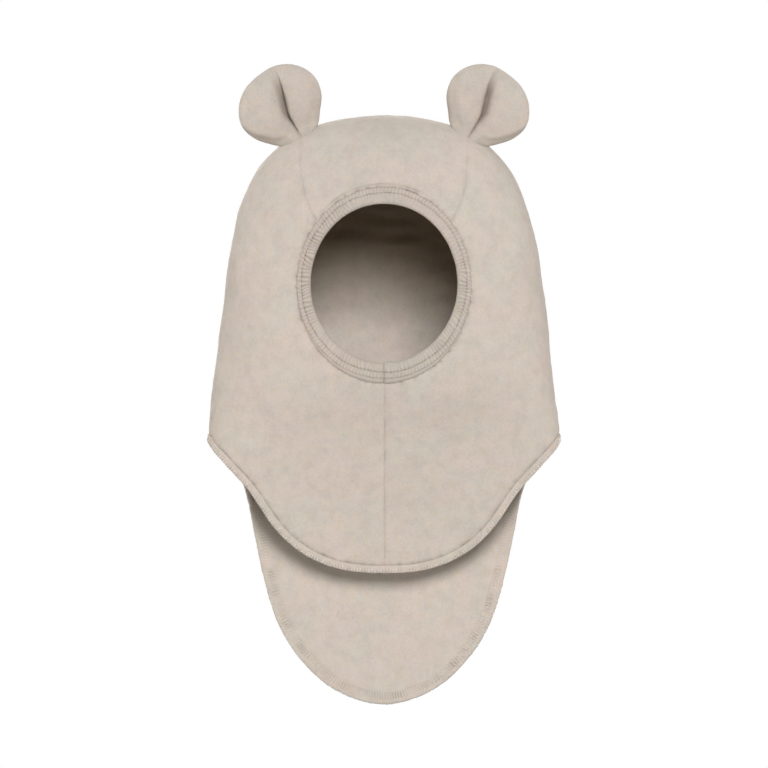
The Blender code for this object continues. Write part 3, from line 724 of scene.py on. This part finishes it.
def add_panel(name, outline, layout, hood, side, look):
    """A panel of cloth with an outer and an inner face and its cut edge between them."""
    inner_points = lattice_over(outline, CLOTH_STEP)
    kept = inner_points[depth_inside(outline, inner_points) > EDGE_ROWS[-1] + 0.55 * CLOTH_STEP]
    flat, triangles = filled(outline, np.vstack([*edge_rows(outline, EDGE_ROWS), kept]))
    form = layout(flat)
    if side < 0:
        form = form * MIRROR
    normal = outward(form)
    a, b, c = triangles[0]
    if np.cross(form[b] - form[a], form[c] - form[a]) @ normal[a] < 0:
        triangles = [(a, c, b) for a, b, c in triangles]
    hood.measure(form)
    waves = cloth_waves(form, hood)
    out_shift, out_pressed_and_shade = outer_relief(form, hood, side)
    in_shift, in_shade = inner_relief(form, hood)
    outer = form + normal * (waves + out_shift)[:, None]
    inner = form + normal * (waves - WALL - in_shift)[:, None]
    count, edge = len(form), len(outline)
    uses = {(a, b) for t in triangles for a, b in ((t[0], t[1]), (t[1], t[2]), (t[2], t[0]))}
    faces = list(triangles) + [(a + count, c + count, b + count) for a, b, c in triangles]
    for i in range(edge):
        a, b = i, (i + 1) % edge
        if (a, b) not in uses:
            a, b = b, a
        faces.append((b, a, a + count, b + count))
    # painted shade with pressed nap on the outer face, painted shade inside the crown on the inner face
    pressed = np.concatenate([out_pressed_and_shade, 0 * in_shade])
    inside_shade = np.concatenate([0 * in_shade, in_shade])
    return add_mesh(name, np.vstack([outer, inner]), faces, look, pressed=pressed, inside_shade=inside_shade)


def add_crown(hood, look):
    """The panel from the forehead over the crown and down the flap, in one piece."""
    angles = np.arange(0.0, SEAM_FACE_TURN - RING_SPACING / 2, RING_SPACING)
    above = run_of(binding_line(1.0 + SEWN_GAP / BINDING_SIDE, angles))
    flap = run_of(hood.hem_edge[~hood.side_part])
    half = np.vstack([above, beside(hood.seam, SEWN_GAP / 2), flap])
    outline = np.vstack([half, (half * np.array([-1.0, 1.0]))[::-1][1:-1]])
    crown = add_panel("crown_cloth", outline, over_crown, hood, 0, look)
    middle = np.array([above[0], flap[-1]])
    length = lengths_along(over_crown(evenly(middle, CLOTH_STEP)))[-1]
    widest = half[np.argmax(half[:, 0])]
    width = lengths_along(over_crown(np.linspace(widest * (-1.0, 1.0), widest, 60)))[-1]
    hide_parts("crown_panel")


def add_sides(hood, look):
    """The two side panels, from the seam over the ear round to the seam below the face."""
    seam = side_flat(over_crown(beside(hood.seam, -SEWN_GAP / 2)))
    angles = np.arange(SEAM_FACE_TURN + RING_SPACING, pi - RING_SPACING / 2, RING_SPACING)
    below = side_flat(binding_line(1.0 + SEWN_GAP / BINDING_SIDE, angles))
    ends = np.array([(SEWN_GAP / 2, hood.front_top + SEWN_GAP), (SEWN_GAP / 2, hood.front_bottom)])
    front = side_flat(on_front(*evenly(ends, CLOTH_STEP).T))
    hem = side_flat(hood.hem_edge[hood.side_part])[1:-1]
    outline = np.vstack([seam[::-1], below, front, hem])
    for name, side, node in (
        ("side_cloth_left", 1, "side_panel_left"), ("side_cloth_right", -1, "side_panel_right")
    ):
        panel = add_panel(name, outline, side_layout, hood, side, look)
        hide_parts(node)


def ring_faces(count, around, first=0, closed=True):
    """Faces between equal closed sections in a row, and back to the first one if closed."""
    faces = []
    for i in range(count if closed else count - 1):
        here, there = first + i * around, first + (i + 1) % count * around
        for k in range(around):
            m = (k + 1) % around
            faces.append((here + k, here + m, there + m, there + k))
    return faces


def add_band(name, columns, marks, look):
    """A closed band from the lines that run along it, and how much painted shade and pressed nap darken
    each.
    """
    points = np.stack(columns, axis=1).reshape(-1, 3)
    faces = ring_faces(len(columns[0]), len(columns))
    return add_mesh(name, points, faces, look, BAND_SHARP, np.stack(marks, axis=1).ravel())


def binding_width(angles):
    """The binding's width round the face opening."""
    across = BINDING_SIDE * np.abs(np.sin(angles))
    upright = np.where(np.cos(angles) > 0, BINDING_TOP, BINDING_BOTTOM) * np.cos(angles)
    return np.hypot(across, upright)


def rim_give(angles):
    """How far the rolled rim is drawn back from the opening, as a share of the binding's width."""
    above = climb(np.cos(angles) + 0.85, 0.6)
    return RIM_GIVE * above * (0.3 + 0.7 * np.abs(np.sin(angles))) / binding_width(angles)


def rib_marks(angles, share):
    """The ribs round the face: 0 in the valleys and 1 on the crests, unevenly spaced and bent."""
    drift = 0.22 * (np.sin(7 * angles + 1.0) + np.sin(13 * angles + 2.0) + np.sin(23 * angles + 0.5))
    bend = (np.sin(11 * angles + 0.7) + 0.8 * np.sin(27 * angles + 2.2)) * (share - 0.4)
    phase = angles * RIB_COUNT / tau + drift + 0.9 * bend
    return (0.5 - 0.5 * np.cos(tau * phase)) ** 0.7


def rib_strength(angles):
    """How strongly the ribs show at each place round the face."""
    turns, strengths = np.array(RIB_SHOWS).T
    uneven = 1 + 0.28 * np.sin(17 * angles + 1.0) * np.sin(41 * angles + 0.4)
    return np.interp(np.degrees(angles) % 360, turns, strengths) * uneven


def needle_lines(angles):
    """Where the two needle lines run across the binding: further in at the bottom, and not quite even."""
    reach = climb(np.abs(np.arctan2(np.sin(angles), np.cos(angles))) - 1.4, 1.74)
    low = reach**2 * (3 - 2 * reach)
    wander = 0.014 * np.sin(9 * angles) + 0.010 * np.sin(31 * angles + 1.0)
    inner, outer = (side + (bottom - side) * low for side, bottom in (NEEDLE_INNER, NEEDLE_OUTER))
    return inner + wander, outer + 0.5 * wander


def rolled(share):
    """How thick the rolled rim is there, from 0 at the opening to 1."""
    return sqrt(max(0.0, 1 - (1 - min(1.0, share / RIM_ROLL)) ** 2))


def rib_face(share, angles, join, lap):
    """How far the binding's face stands out along a line round it, and how much painted shade and pressed
    nap darken it.
    """
    ribs = rib_marks(angles, share)
    beat = 0.60 + 0.40 * (1 - rib_marks(angles, 0.5)) + 0.18 * np.sin(29 * angles)
    needles = needle_lines(angles)
    beyond = climb(share - needles[0], 0.04)
    roll = rolled(share)
    height = BINDING_THICKNESS / 2 * roll - 0.35 * MM * max(0.0, share - 0.5) / 0.5
    height = height - 0.25 * MM * beyond + LAP_HEIGHT * lap * roll
    height -= 4.5 * MM * max(0.0, share - 0.9)
    pressed = 0.10 * beyond
    for needle, depth in zip(needles, NEEDLE_DEPTHS):
        groove = depth * beat * bell((share - needle) * binding_width(angles), GROOVE_WIDTH)
        height -= GROOVE_DEPTH * groove
        pressed += 0.56 * groove
    strength = rib_strength(angles) * (1 - 0.70 * beyond) * min(1.0, 0.3 + share / 0.1)
    height += RIB_HEIGHT * (ribs - 0.6) * strength
    # painted shade in the valleys between the ribs
    pressed += 0.50 * (1 - ribs) * strength
    height -= JOIN_DEPTH * bell(join, 0.5 * MM) * roll
    height += 0.20 * MM * bell(np.abs(join) - 1.1 * MM, 0.6 * MM)
    pressed += 0.42 * bell(join, 0.45 * MM) * roll
    return height, np.clip(PRESSED_AND_SHADE_SHOWS * pressed, 0.0, 1.0)


def add_binding(look):
    """The ribbed band round the face, folded at the opening and sewn down along its needle lines."""
    angles = np.linspace(0.0, tau, RIB_COUNT * RIB_SAMPLES, endpoint=False)
    give = rim_give(angles)
    join = (angles - pi) * FACE_WIDTH / 2
    lap = bell(join + 3.4 * MM, 2.6 * MM) * climb(0.6 * MM - join, 0.6 * MM)
    columns, marks = [], []
    for share in FRONT_SHARES:
        height, pressed = rib_face(share, angles, join, lap)
        drawn = give * max(0.0, 1 - share / 0.50) - 0.10 * lap * max(0.0, 1 - share / 0.40)
        columns.append(raised(binding_line(share + drawn, angles), height - WALL / 2))
        marks.append(pressed)
    ribs = rib_marks(angles, 1.0)
    for share in BACK_SHARES:
        height = -BINDING_THICKNESS / 2 * rolled(share) + 0.3 * RIB_HEIGHT * ribs + 0.4 * MM * share
        line = binding_line(share + give * max(0.0, 1 - share / 0.50), angles)
        columns.append(raised(line, height - WALL / 2))
        # painted shade on the band's back, deeper between the ribs
        marks.append(0.23 + 0.38 * (1 - ribs))
    binding = add_band("binding_rib", columns, marks, look)
    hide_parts("face_binding")


def add_threads(name, places, radius, look):
    """Short round closed threads, from the places of all of them at each step along."""
    steps, sides = len(places), THREAD_SIDES
    paths = np.stack(places, axis=1)
    tangent = unit(np.gradient(paths, axis=1))
    flat = unit(np.cross(tangent, (0.13, 0.31, 0.94)))
    other = np.cross(tangent, flat)
    turns = np.linspace(0.0, tau, sides, endpoint=False)
    taper = np.ones(steps)
    taper[[0, -1]] = THREAD_ENDS
    ring = flat[..., None, :] * np.cos(turns)[:, None] + other[..., None, :] * np.sin(turns)[:, None]
    points = paths[:, :, None, :] + ring * radius * taper[:, None, None]
    faces = []
    for first in range(0, len(paths) * steps * sides, steps * sides):
        last = first + (steps - 1) * sides
        faces += ring_faces(steps, sides, first, closed=False)
        faces += [tuple(range(first, first + sides))[::-1], tuple(range(last, last + sides))]
    return add_mesh(name, points.reshape(-1, 3), faces, look)


def add_binding_thread(look):
    """The looper thread that crosses between the needle lines of the binding."""
    angles = (np.arange(RIB_COUNT) + 0.5) * tau / RIB_COUNT
    inner, outer = needle_lines(angles)
    places = []
    for along in np.linspace(0.0, 1.0, 7):
        share = inner + (outer - inner) * (0.04 + 0.92 * along)
        line = binding_line(share, angles + (along - 0.5) * 0.35 * tau / RIB_COUNT)
        rise = 0.62 * MM + 0.34 * MM * sin(pi * along)
        places.append(line + outward(line) * (rise - 0.15 * MM))
    thread = add_threads("binding_thread", places, THREAD_RADIUS, look)


def whole_hem_line(step):
    """The hem's free edge all round, with the direction into the cloth."""
    line = half_hem(step)
    up = inward_from(line)
    return [np.vstack([half, half[::-1][1:-1] * MIRROR]) for half in (line, up)]


def less_at_sides(rise, line):
    """Heights on the hem's outer face, lower where it passes the widest part of the hat."""
    off_side = np.abs(line[:, 0]) - np.abs(line[:, 0]).max()
    return rise - HEM_FLAT * bell(off_side, HEM_FLAT_REACH) * np.maximum(0.0, rise - WALL / 2)


def add_hem(look):
    """The turned hem all round the lower edge, puckered a little by the threads over its free edge."""
    line, up = whole_hem_line(HEM_STATION)
    along = lengths_along(line)
    count = round(along[-1] / HEM_BUMP)
    phase = along / along[-1] * count
    chance = np.random.default_rng(5)
    strength = np.interp(phase, np.arange(count + 1), chance.uniform(0.2, 1.4, count + 1))
    strength = strength * np.where(line[:, 1] < 0, 1.0, 0.5)
    wander = 0.05 * MM * soft_noise(line, 12 * MM, 41)
    rungs = 0.5 + 0.5 * np.cos(tau * along / LOOPER_PITCH + 1.4 * line_noise(along, 9 * MM, 34))
    rungs = rungs * np.clip(0.55 + 0.60 * line_noise(along, 10 * MM, 35), 0.0, 1.4)
    columns, marks = [], []
    for face, profile in ((1.0, HEM_OUTER), (-1.0, HEM_INNER)):
        for width, height in profile:
            bump = np.abs(np.sin(pi * (phase + 0.9 * width))) ** 0.8 - 0.5
            mask = exp(-((width - 0.14) / 0.40) ** 2) + 0.10
            rise = HEM_THICKNESS * height + HEM_BUMP_HEIGHT * bump * strength * mask
            ladder = (face < 0) * (LOOPER_REACH[0] < HEM_WIDTH * width < LOOPER_REACH[1]) * rungs
            rise = rise - LOOPER_DEPTH * ladder
            rise = less_at_sides(rise, line) if face > 0 else rise
            grain = soft_noise(line + up * HEM_WIDTH * width, 2.2 * MM, 42) * min(1.0, 6 * abs(1 - width))
            rise = rise + HEM_GRAIN * grain * (face > 0)
            out = HEM_WIDTH * width + wander * max(0.0, 1 - width) + 0.07 * MM * grain * (width < 0.1)
            place = moved_on_hood(line, up, (out - 0.14 * MM * bump * strength * (width < 0.1))[:, None])
            columns.append(raised(place, face * rise - WALL / 2))
            # painted shade with pressed nap between the threads over the free edge, along the hem's upper
            # edge and in the ladder's grooves
            groove = 0.12 * (width > 0.95) * (face > 0) + 0.22 * ladder
            marks.append(np.clip(0.42 * mask * (0.5 - bump) * strength + groove, 0.0, 1.0))
    hem = add_band("hem_band", columns, marks, look)
    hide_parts("neck_hem")


def add_edge_stitches(look):
    """Short slanted stitches of thread over the hem's free edge, each a little different."""
    line, up = whole_hem_line(HEM_BUMP)
    normal = outward(line)
    chance = np.random.default_rng(8)
    reach = chance.uniform(0.14, 0.72, len(line))[:, None]
    lift = chance.uniform(-0.12, 0.16, len(line))[:, None] * MM
    slant = np.gradient(line, axis=0) * chance.uniform(-0.2, 0.9, len(line))[:, None]
    places = []
    for share in np.linspace(0.0, 1.0, 7):
        width = 0.03 + reach * share
        height = HEM_THICKNESS * (0.28 + 0.18 * np.minimum(1.0, width / 0.24)) + lift
        height = less_at_sides(height[:, 0], line)[:, None]
        dip = 0.30 * MM * (2 * abs(share - 0.5)) ** 3
        side = line + up * HEM_WIDTH * width + slant * (share - 0.5)
        places.append(side - normal * WALL / 2 + normal * (height - dip))
    thread = add_threads("hem_edge_thread", places, EDGE_THREAD_RADIUS, look)


def add_looper_thread(look):
    """The ladder of looper thread on the inside, along the raw edge of the turned hem."""
    line, up = whole_hem_line(LOOPER_PITCH)
    slant = np.gradient(line, axis=0) * 0.18
    places = []
    for share in np.linspace(0.0, 1.0, 6):
        reach = LOOPER_REACH[0] + (LOOPER_REACH[1] - LOOPER_REACH[0]) * share
        place = moved_on_hood(line + slant * (share - 0.5), up, reach)
        layer = 0.34 * MM if reach < 1.5 * HEM_WIDTH else 0.10 * MM
        rise = layer + 0.16 * MM * sin(pi * share)
        places.append(place - outward(place) * (WALL + rise))
    thread = add_threads("hem_looper_thread", places, THREAD_RADIUS, look)


def crown_top(x, y):
    """The height of the hood's outer face above or below each place across and along it."""
    def outside(drop):
        width, depth = squares_at(drop, y < 0)
        return x**2 / np.maximum(width, 1e-12) + y**2 / np.maximum(depth, 1e-12) > 1

    deepest = np.full(len(x), CROWN_TO_SHOULDER / 2)
    return WALL - halved(np.zeros(len(x)), deepest, outside, rounds=36)[1]


def ear_rim(angle):
    """The ear's radius at an angle from straight up."""
    rows = [(radians(r.turn), r.radius) for r in EAR_RIM]
    before = [(turn - tau, radius) for turn, radius in rows[-2:]]
    after = [(turn + tau, radius) for turn, radius in rows[:2]]
    turns, shares = smooth_curve([*before, *rows, *after]).T
    return EAR_RADIUS * np.interp(angle, turns, shares)


def fold_at(up):
    """The fold's place across the ear and its depth, at heights up the ear."""
    ups, across, depth = smooth_curve(EAR_FOLD).T * EAR_RADIUS
    return np.interp(up, ups, across), np.maximum(np.interp(up, ups, depth), 0.0)


def ear_line(places):
    """A smooth flat line on an ear through a few places, given in shares of its radius."""
    return evenly(smooth_curve(places) * EAR_RADIUS, FINE_STEP)


def flat_distance(flat, line):
    """The distance of flat points from a flat line."""
    line, flat = (np.column_stack([places, np.zeros(len(places))]) for places in (line, flat))
    return nearest_on(line, flat)[0]


def ear_flat_points(shift):
    """The ear's rim and the points inside it, close together along the fold and near the rim."""
    angles = np.linspace(-pi, pi, EAR_RIM_COUNT, endpoint=False)
    rim = np.column_stack([np.sin(angles), np.cos(angles)]) * ear_rim(angles)[:, None]
    rings = [rim * share for share in EAR_RINGS]
    ups = np.arange(-1.0, 1.0, 0.7 * EAR_STEP / EAR_RADIUS) * EAR_RADIUS
    across = fold_at(ups)[0] + shift
    offsets = np.array(FOLD_ROWS) * MM
    fold = np.column_stack([(across[:, None] + offsets).ravel(), np.repeat(ups, len(offsets))])
    fold = fold[depth_inside(rings[-1], fold) > 0.4 * EAR_STEP]
    lattice = lattice_over(rim, EAR_STEP)
    clear = depth_inside(rings[-1], lattice) > 0.5 * EAR_STEP
    beside_fold = lattice[:, 0] - fold_at(lattice[:, 1])[0] - shift
    clear &= (beside_fold < offsets[0] - 0.5 * EAR_STEP) | (beside_fold > offsets[-1] + 0.5 * EAR_STEP)
    return rim[::-1], np.vstack([*rings, fold, lattice[clear]])


def ear_fold(flat, shift, fold_shade):
    """The height of an ear's two lobes and the fold between them.

    Also how far the inner lobe leans over the fold, and the painted shade, with pressed nap, in and beside
    the fold."""
    place, depth = fold_at(flat[:, 1])
    full = climb(depth, 0.28 * EAR_RADIUS)
    off = flat[:, 0] - place - shift
    closing = np.clip((flat[:, 1] / EAR_RADIUS + 0.75) / 0.55, FOLD_CLOSED, 1.0)
    slope = np.maximum(0.0, -off - FOLD_FLOOR * closing)
    width = FOLD_SOFT_SIDE * closing
    soft = 0.30 * bell(off, width) + 0.70 * bell(slope, 0.32 * width)
    sharp = 0.90 * bell(off, FOLD_SHARP_SIDE) + 0.10 * bell(off, FOLD_SOFT_SIDE)
    height = EAR_FRONT_PUFF - depth * np.where(off < 0, soft, sharp)
    height += LOBE_RISE * full * bell(off - 2.8 * MM, 2.4 * MM)
    lean = np.where(off > 0, bell(off - 0.3 * MM, 0.9 * MM), 0.0) * full
    floor_edge = np.maximum(0.0, -off - 1.1 * MM * closing)
    band = np.where(off < 0, bell(floor_edge, fold_shade.reach * closing), bell(off, 0.5 * MM))
    # painted shade on the fold's floor and under the leaning lobe, and broader painted shade on the outer
    # lobe beside the fold
    pressed = fold_shade.pressed * full * band + 0.12 * full * bell(off + 2.0 * MM, 4.5 * MM)
    return height, -FOLD_OVERLAP * lean, pressed


def ear_front(flat, puff, shift, fold_shade):
    """The ear's front: its lobes and fold, a strip of the underside, and the soft line on the inner lobe."""
    height, lean, pressed = ear_fold(flat, shift, fold_shade)
    height *= puff
    seam = ear_line(EAR_UNDER_SEAM)
    distance = flat_distance(flat, seam)
    below = (flat[:, 1] < np.interp(flat[:, 0], seam[:, 0], seam[:, 1])) & (flat[:, 0] < seam[-1, 0])
    strip = climb(distance, 2.0 * MM) * below
    height += 0.5 * MM * bell(distance - 1.8 * MM, 1.6 * MM) * ~below * puff
    height -= UNDER_SEAM_DEPTH * bell(distance, 0.8 * MM) + UNDER_STRIP_DEPTH * strip * puff
    lower_left = climb(-0.2 * EAR_RADIUS - flat[:, 0], 0.4 * EAR_RADIUS)
    # painted shade along the underside seam, heavier towards the lower left, and over the strip of underside
    # below it
    pressed += (0.18 + 0.24 * lower_left) * bell(distance, 1.0 * MM) + 0.32 * strip
    distance = flat_distance(flat, ear_line(EAR_INNER_LINE))
    height -= INNER_LINE_DEPTH * bell(distance, 1.5 * MM) * puff
    # a little painted shade along the inner line
    pressed += 0.05 * bell(distance, 1.4 * MM)
    return height, lean, np.clip(pressed, 0.0, 1.0)


def flared_foot(points):
    """Points of an ear, near the crown moved out over it, so that the foot runs softly into it."""
    top = crown_top(points[:, 0], points[:, 1])
    rise = points[:, 2] - top
    near = np.clip(1 - np.maximum(rise, 0.0) / FOOT_FLARE_HEIGHT, 0.0, 1.0) ** 4
    below = np.column_stack([points[:, 0], points[:, 1], top])
    normal = outward(below)
    forwards = np.array([0.0, -1.0, 0.0])
    along = unit(forwards - (normal @ forwards)[:, None] * normal)
    front = climb(EAR_SETBACK - points[:, 1], 3 * MM)
    moved = points + along * (FOOT_FLARE * near * front)[:, None]
    floor = crown_top(moved[:, 0], moved[:, 1]) + SEWN_GAP
    moved[:, 2] = floor + np.maximum(moved[:, 2] - floor, 0.0) * (1 - 0.9 * near * front)
    return moved


def merged(made, distance):
    """Joins points of a mesh that lie closer together than a distance."""
    shape = bmesh.new()
    shape.from_mesh(made.data)
    bmesh.ops.remove_doubles(shape, verts=shape.verts, dist=distance)
    bmesh.ops.dissolve_degenerate(shape, edges=shape.edges, dist=distance / 4)
    bmesh.ops.recalc_face_normals(shape, faces=shape.faces)
    shape.to_mesh(made.data)
    shape.free()


def add_ear(name, side, cad_node, seed, shift, look):
    """A padded ear with a fold up its front, its foot shaped to the crown."""
    rim, inside = ear_flat_points(shift)
    flat, triangles = filled(rim, inside)
    angle = np.arctan2(flat[:, 0], flat[:, 1])
    share = np.clip(np.linalg.norm(flat, axis=1) / ear_rim(angle), 0.0, 1.0)
    puff = np.sqrt(np.maximum(0.0, 1 - share**EAR_FULLNESS))
    height, lean, pressed = ear_front(flat, puff, shift, FOLD_SHADES[side])
    count, edge = len(flat), len(rim)
    back_of = {i: i + count - edge for i in range(edge, count)}
    front = (flat[:, 0] + lean, flat[:, 1], height)
    back = (flat[edge:, 0], flat[edge:, 1], -puff[edge:] * EAR_BACK_PUFF)
    across, up, out = (np.concatenate(parts) for parts in zip(front, back))
    x = EAR_ACROSS - across * cos(EAR_LEAN) + up * sin(EAR_LEAN)
    z = WALL + EAR_RISE + across * sin(EAR_LEAN) + up * cos(EAR_LEAN)
    points = np.column_stack([side * x, EAR_SETBACK - out, z])
    fullness = np.concatenate([puff, puff[edge:]])
    felt = 0.22 * soft_noise(points, 22 * MM, seed) + 0.06 * soft_noise(points, 7 * MM, seed + 1)
    points[:, 1] -= felt * MM * fullness * np.sign(out)
    points = flared_foot(points)
    faces = list(triangles) + [tuple(back_of.get(i, i) for i in reversed(t)) for t in triangles]
    # an ear darkened a little all over, and by the painted shade on its front
    marks = EAR_DARKENING + (1 - EAR_DARKENING) * np.concatenate([pressed, np.zeros(count - edge)])
    ear = add_mesh(name, points, faces, look, EAR_SHARP, marks)
    merged(ear, 0.01 * MM)
    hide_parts(cad_node)


def fill_in(tree, made, values):
    """Sets a node's inputs to values, or joins them to other nodes' outputs."""
    for key, value in values.items():
        if isinstance(value, bpy.types.NodeSocket):
            tree.links.new(value, made.inputs[key])
        else:
            made.inputs[key].default_value = value


def node(tree, kind, values=None, **settings):
    """A new shader node with its settings and inputs."""
    made = tree.nodes.new(kind)
    for key, value in settings.items():
        setattr(made, key, value)
    fill_in(tree, made, values or {})
    return made


def material(name, values):
    """A new material with its tree and its shader, which is set to the values."""
    made = bpy.data.materials.new(name)
    made.use_nodes = True
    shader = made.node_tree.nodes["Principled BSDF"]
    fill_in(made.node_tree, shader, values)
    return made, made.node_tree, shader


def noise(tree, place, size, detail, roughness):
    """A noise whose patches are about a size across."""
    inputs = {"Vector": place, "Scale": 1.0 / size, "Detail": detail, "Roughness": roughness}
    return node(tree, "ShaderNodeTexNoise", inputs).outputs["Fac"]


def ramp(tree, value, stops):
    """A colour for each value, from a few stops."""
    made = node(tree, "ShaderNodeValToRGB", {"Fac": value})
    marks = made.color_ramp.elements
    while len(marks) < len(stops):
        marks.new(0.5)
    for mark, (place, colour) in zip(marks, stops):
        mark.position = place
        mark.color = (*colour, 1.0)
    return made.outputs["Color"]


def times(tree, first, second, share=1.0):
    """One colour multiplied by another."""
    inputs = {0: share, 6: first, 7: second}
    return node(tree, "ShaderNodeMix", inputs, data_type="RGBA", blend_type="MULTIPLY").outputs[2]


def grey(level):
    """The same level in all three colours."""
    return (level, level, level)


def wool(name, look, grain, bump):
    """Melange wool: patches of slightly different hue, finer flecks, felted fibres in relief, and the
    painted shade marked on the mesh.
    """
    made, tree, shader = material(name, WOOL_SHADER)
    place = node(tree, "ShaderNodeTexCoord").outputs["Object"]
    patches = noise(tree, place, 20 * MM, 3.0, 0.55)
    colour = ramp(tree, patches, ((0.34, look.green), (0.5, look.colour), (0.66, look.pink)))
    clouds = ((0.30, grey(1 - look.shade)), (0.52, grey(0.99)), (0.72, grey(1.03)))
    for size, detail, roughness, stops in (
        (3.6 * MM, 1.0, 0.5, ((0.34, COOL_TINGE), (0.66, WARM_TINGE))),
        (7 * MM, 3.0, 0.6, clouds),
        (grain, 3.0, 0.65, ((0.28, grey(0.90)), (0.62, WHITE))),
        (1.4 * MM, 1.0, 0.5, ((0.20, grey(0.84)), (0.27, WHITE))),
    ):
        colour = times(tree, colour, ramp(tree, noise(tree, place, size, detail, roughness), stops))
    # darkening from the marks on the mesh: painted shade with pressed nap in grooves and folds, and painted
    # shade inside the crown
    for mark, tint in (("pressed", PRESSED_NAP_AND_SHADE), ("inside_shade", INSIDE_SHADE_TINT)):
        level = node(tree, "ShaderNodeAttribute", attribute_name=mark).outputs["Fac"]
        colour = times(tree, colour, (*tint, 1.0), level)
    felt = noise(tree, place, grain * 1.6, 4.0, 0.7)
    relief = node(tree, "ShaderNodeBump", {"Height": felt, "Strength": 0.55, "Distance": bump})
    fill_in(tree, shader, {"Base Color": colour, "Normal": relief.outputs["Normal"]})
    return made


def add_light(name, place, size, power, colour):
    """A soft square light that faces the hat."""
    lamp = bpy.data.lights.new(name, "AREA")
    lamp.shape = "SQUARE"
    lamp.size = size
    lamp.energy = power
    lamp.color = colour
    made = shown(name, lamp)
    made.location = place
    made.rotation_mode = "QUATERNION"
    made.rotation_quaternion = (LIT_POINT - made.location).to_track_quat("-Z", "Y")


def add_studio():
    """A pale floor below the hat, soft lights, and a pale room."""
    mesh = bpy.data.meshes.new("floor")
    ends = [(x * FLOOR_REACH, y * FLOOR_REACH, -FLOOR_DROP) for x, y in ((-1, -1), (1, -1), (1, 1), (-1, 1))]
    mesh.from_pydata(ends, [], [(0, 1, 2, 3)])
    mesh.materials.append(material("floor", FLOOR_SHADER)[0])
    floor = shown("floor", mesh)
    floor.visible_diffuse = False

    add_light("key", (0.40, -3.11, 1.23), 1.45, 101.0, (1.0, 0.99, 0.975))
    add_light("top", (0.0, 0.2, 1.5), 1.4, 8.5, WHITE)
    add_light("left", (-1.6, 0.2, -0.1), 1.0, 8.6, WARM)
    add_light("right", (1.6, 0.2, -0.1), 1.0, 8.2, WARM)
    add_light("left_low", (-1.5, -0.6, -0.8), 1.0, 11.0, WARMER)
    add_light("right_low", (1.0, -1.1, -1.7), 1.0, 15.5, WARMER)
    add_light("back", (-0.3, 1.6, 0.4), 1.2, 27.0, WHITE)

    world = bpy.data.worlds.new("room")
    bpy.context.scene.world = world
    world.use_nodes = True
    tree = world.node_tree
    tree.nodes.clear()
    seen = node(tree, "ShaderNodeBackground", {"Color": (*WHITE, 1.0), "Strength": 1.0})
    lit = node(tree, "ShaderNodeBackground", {"Color": (1.0, 0.95, 0.88, 1.0), "Strength": 0.018})
    by_camera = node(tree, "ShaderNodeLightPath").outputs["Is Camera Ray"]
    either = node(tree, "ShaderNodeMixShader", {0: by_camera, 1: lit.outputs[0], 2: seen.outputs[0]})
    node(tree, "ShaderNodeOutputWorld", {"Surface": either.outputs[0]})
    bpy.context.scene.view_settings.view_transform = "Standard"


def add_camera():
    """A camera without perspective, straight in front and level with the middle of the picture."""
    lens = bpy.data.cameras.new("camera")
    lens.type = "ORTHO"
    lens.ortho_scale = PICTURE_SPAN
    camera = shown("camera", lens)
    camera.location = CAMERA_PLACE
    camera.rotation_euler = (pi / 2, 0.0, 0.0)
    bpy.context.scene.camera = camera


def main():
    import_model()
    fleece = wool("fleece", FLEECE, 1.1 * MM, 0.16 * MM)
    rib = wool("rib", RIB, 0.7 * MM, 0.10 * MM)
    thread = wool("thread", THREAD, 0.5 * MM, 0.06 * MM)
    edge_thread = wool("edge_thread", EDGE_THREAD, 0.5 * MM, 0.06 * MM)
    hood = Hood()
    add_crown(hood, fleece)
    add_sides(hood, fleece)
    add_binding(rib)
    add_binding_thread(thread)
    add_hem(fleece)
    add_edge_stitches(edge_thread)
    add_looper_thread(thread)
    add_ear("ear_cloth_left", 1, "ear_left", 51, -FOLD_SHIFT, fleece)
    add_ear("ear_cloth_right", -1, "ear_right", 61, FOLD_SHIFT, fleece)
    add_studio()
    add_camera()


main()
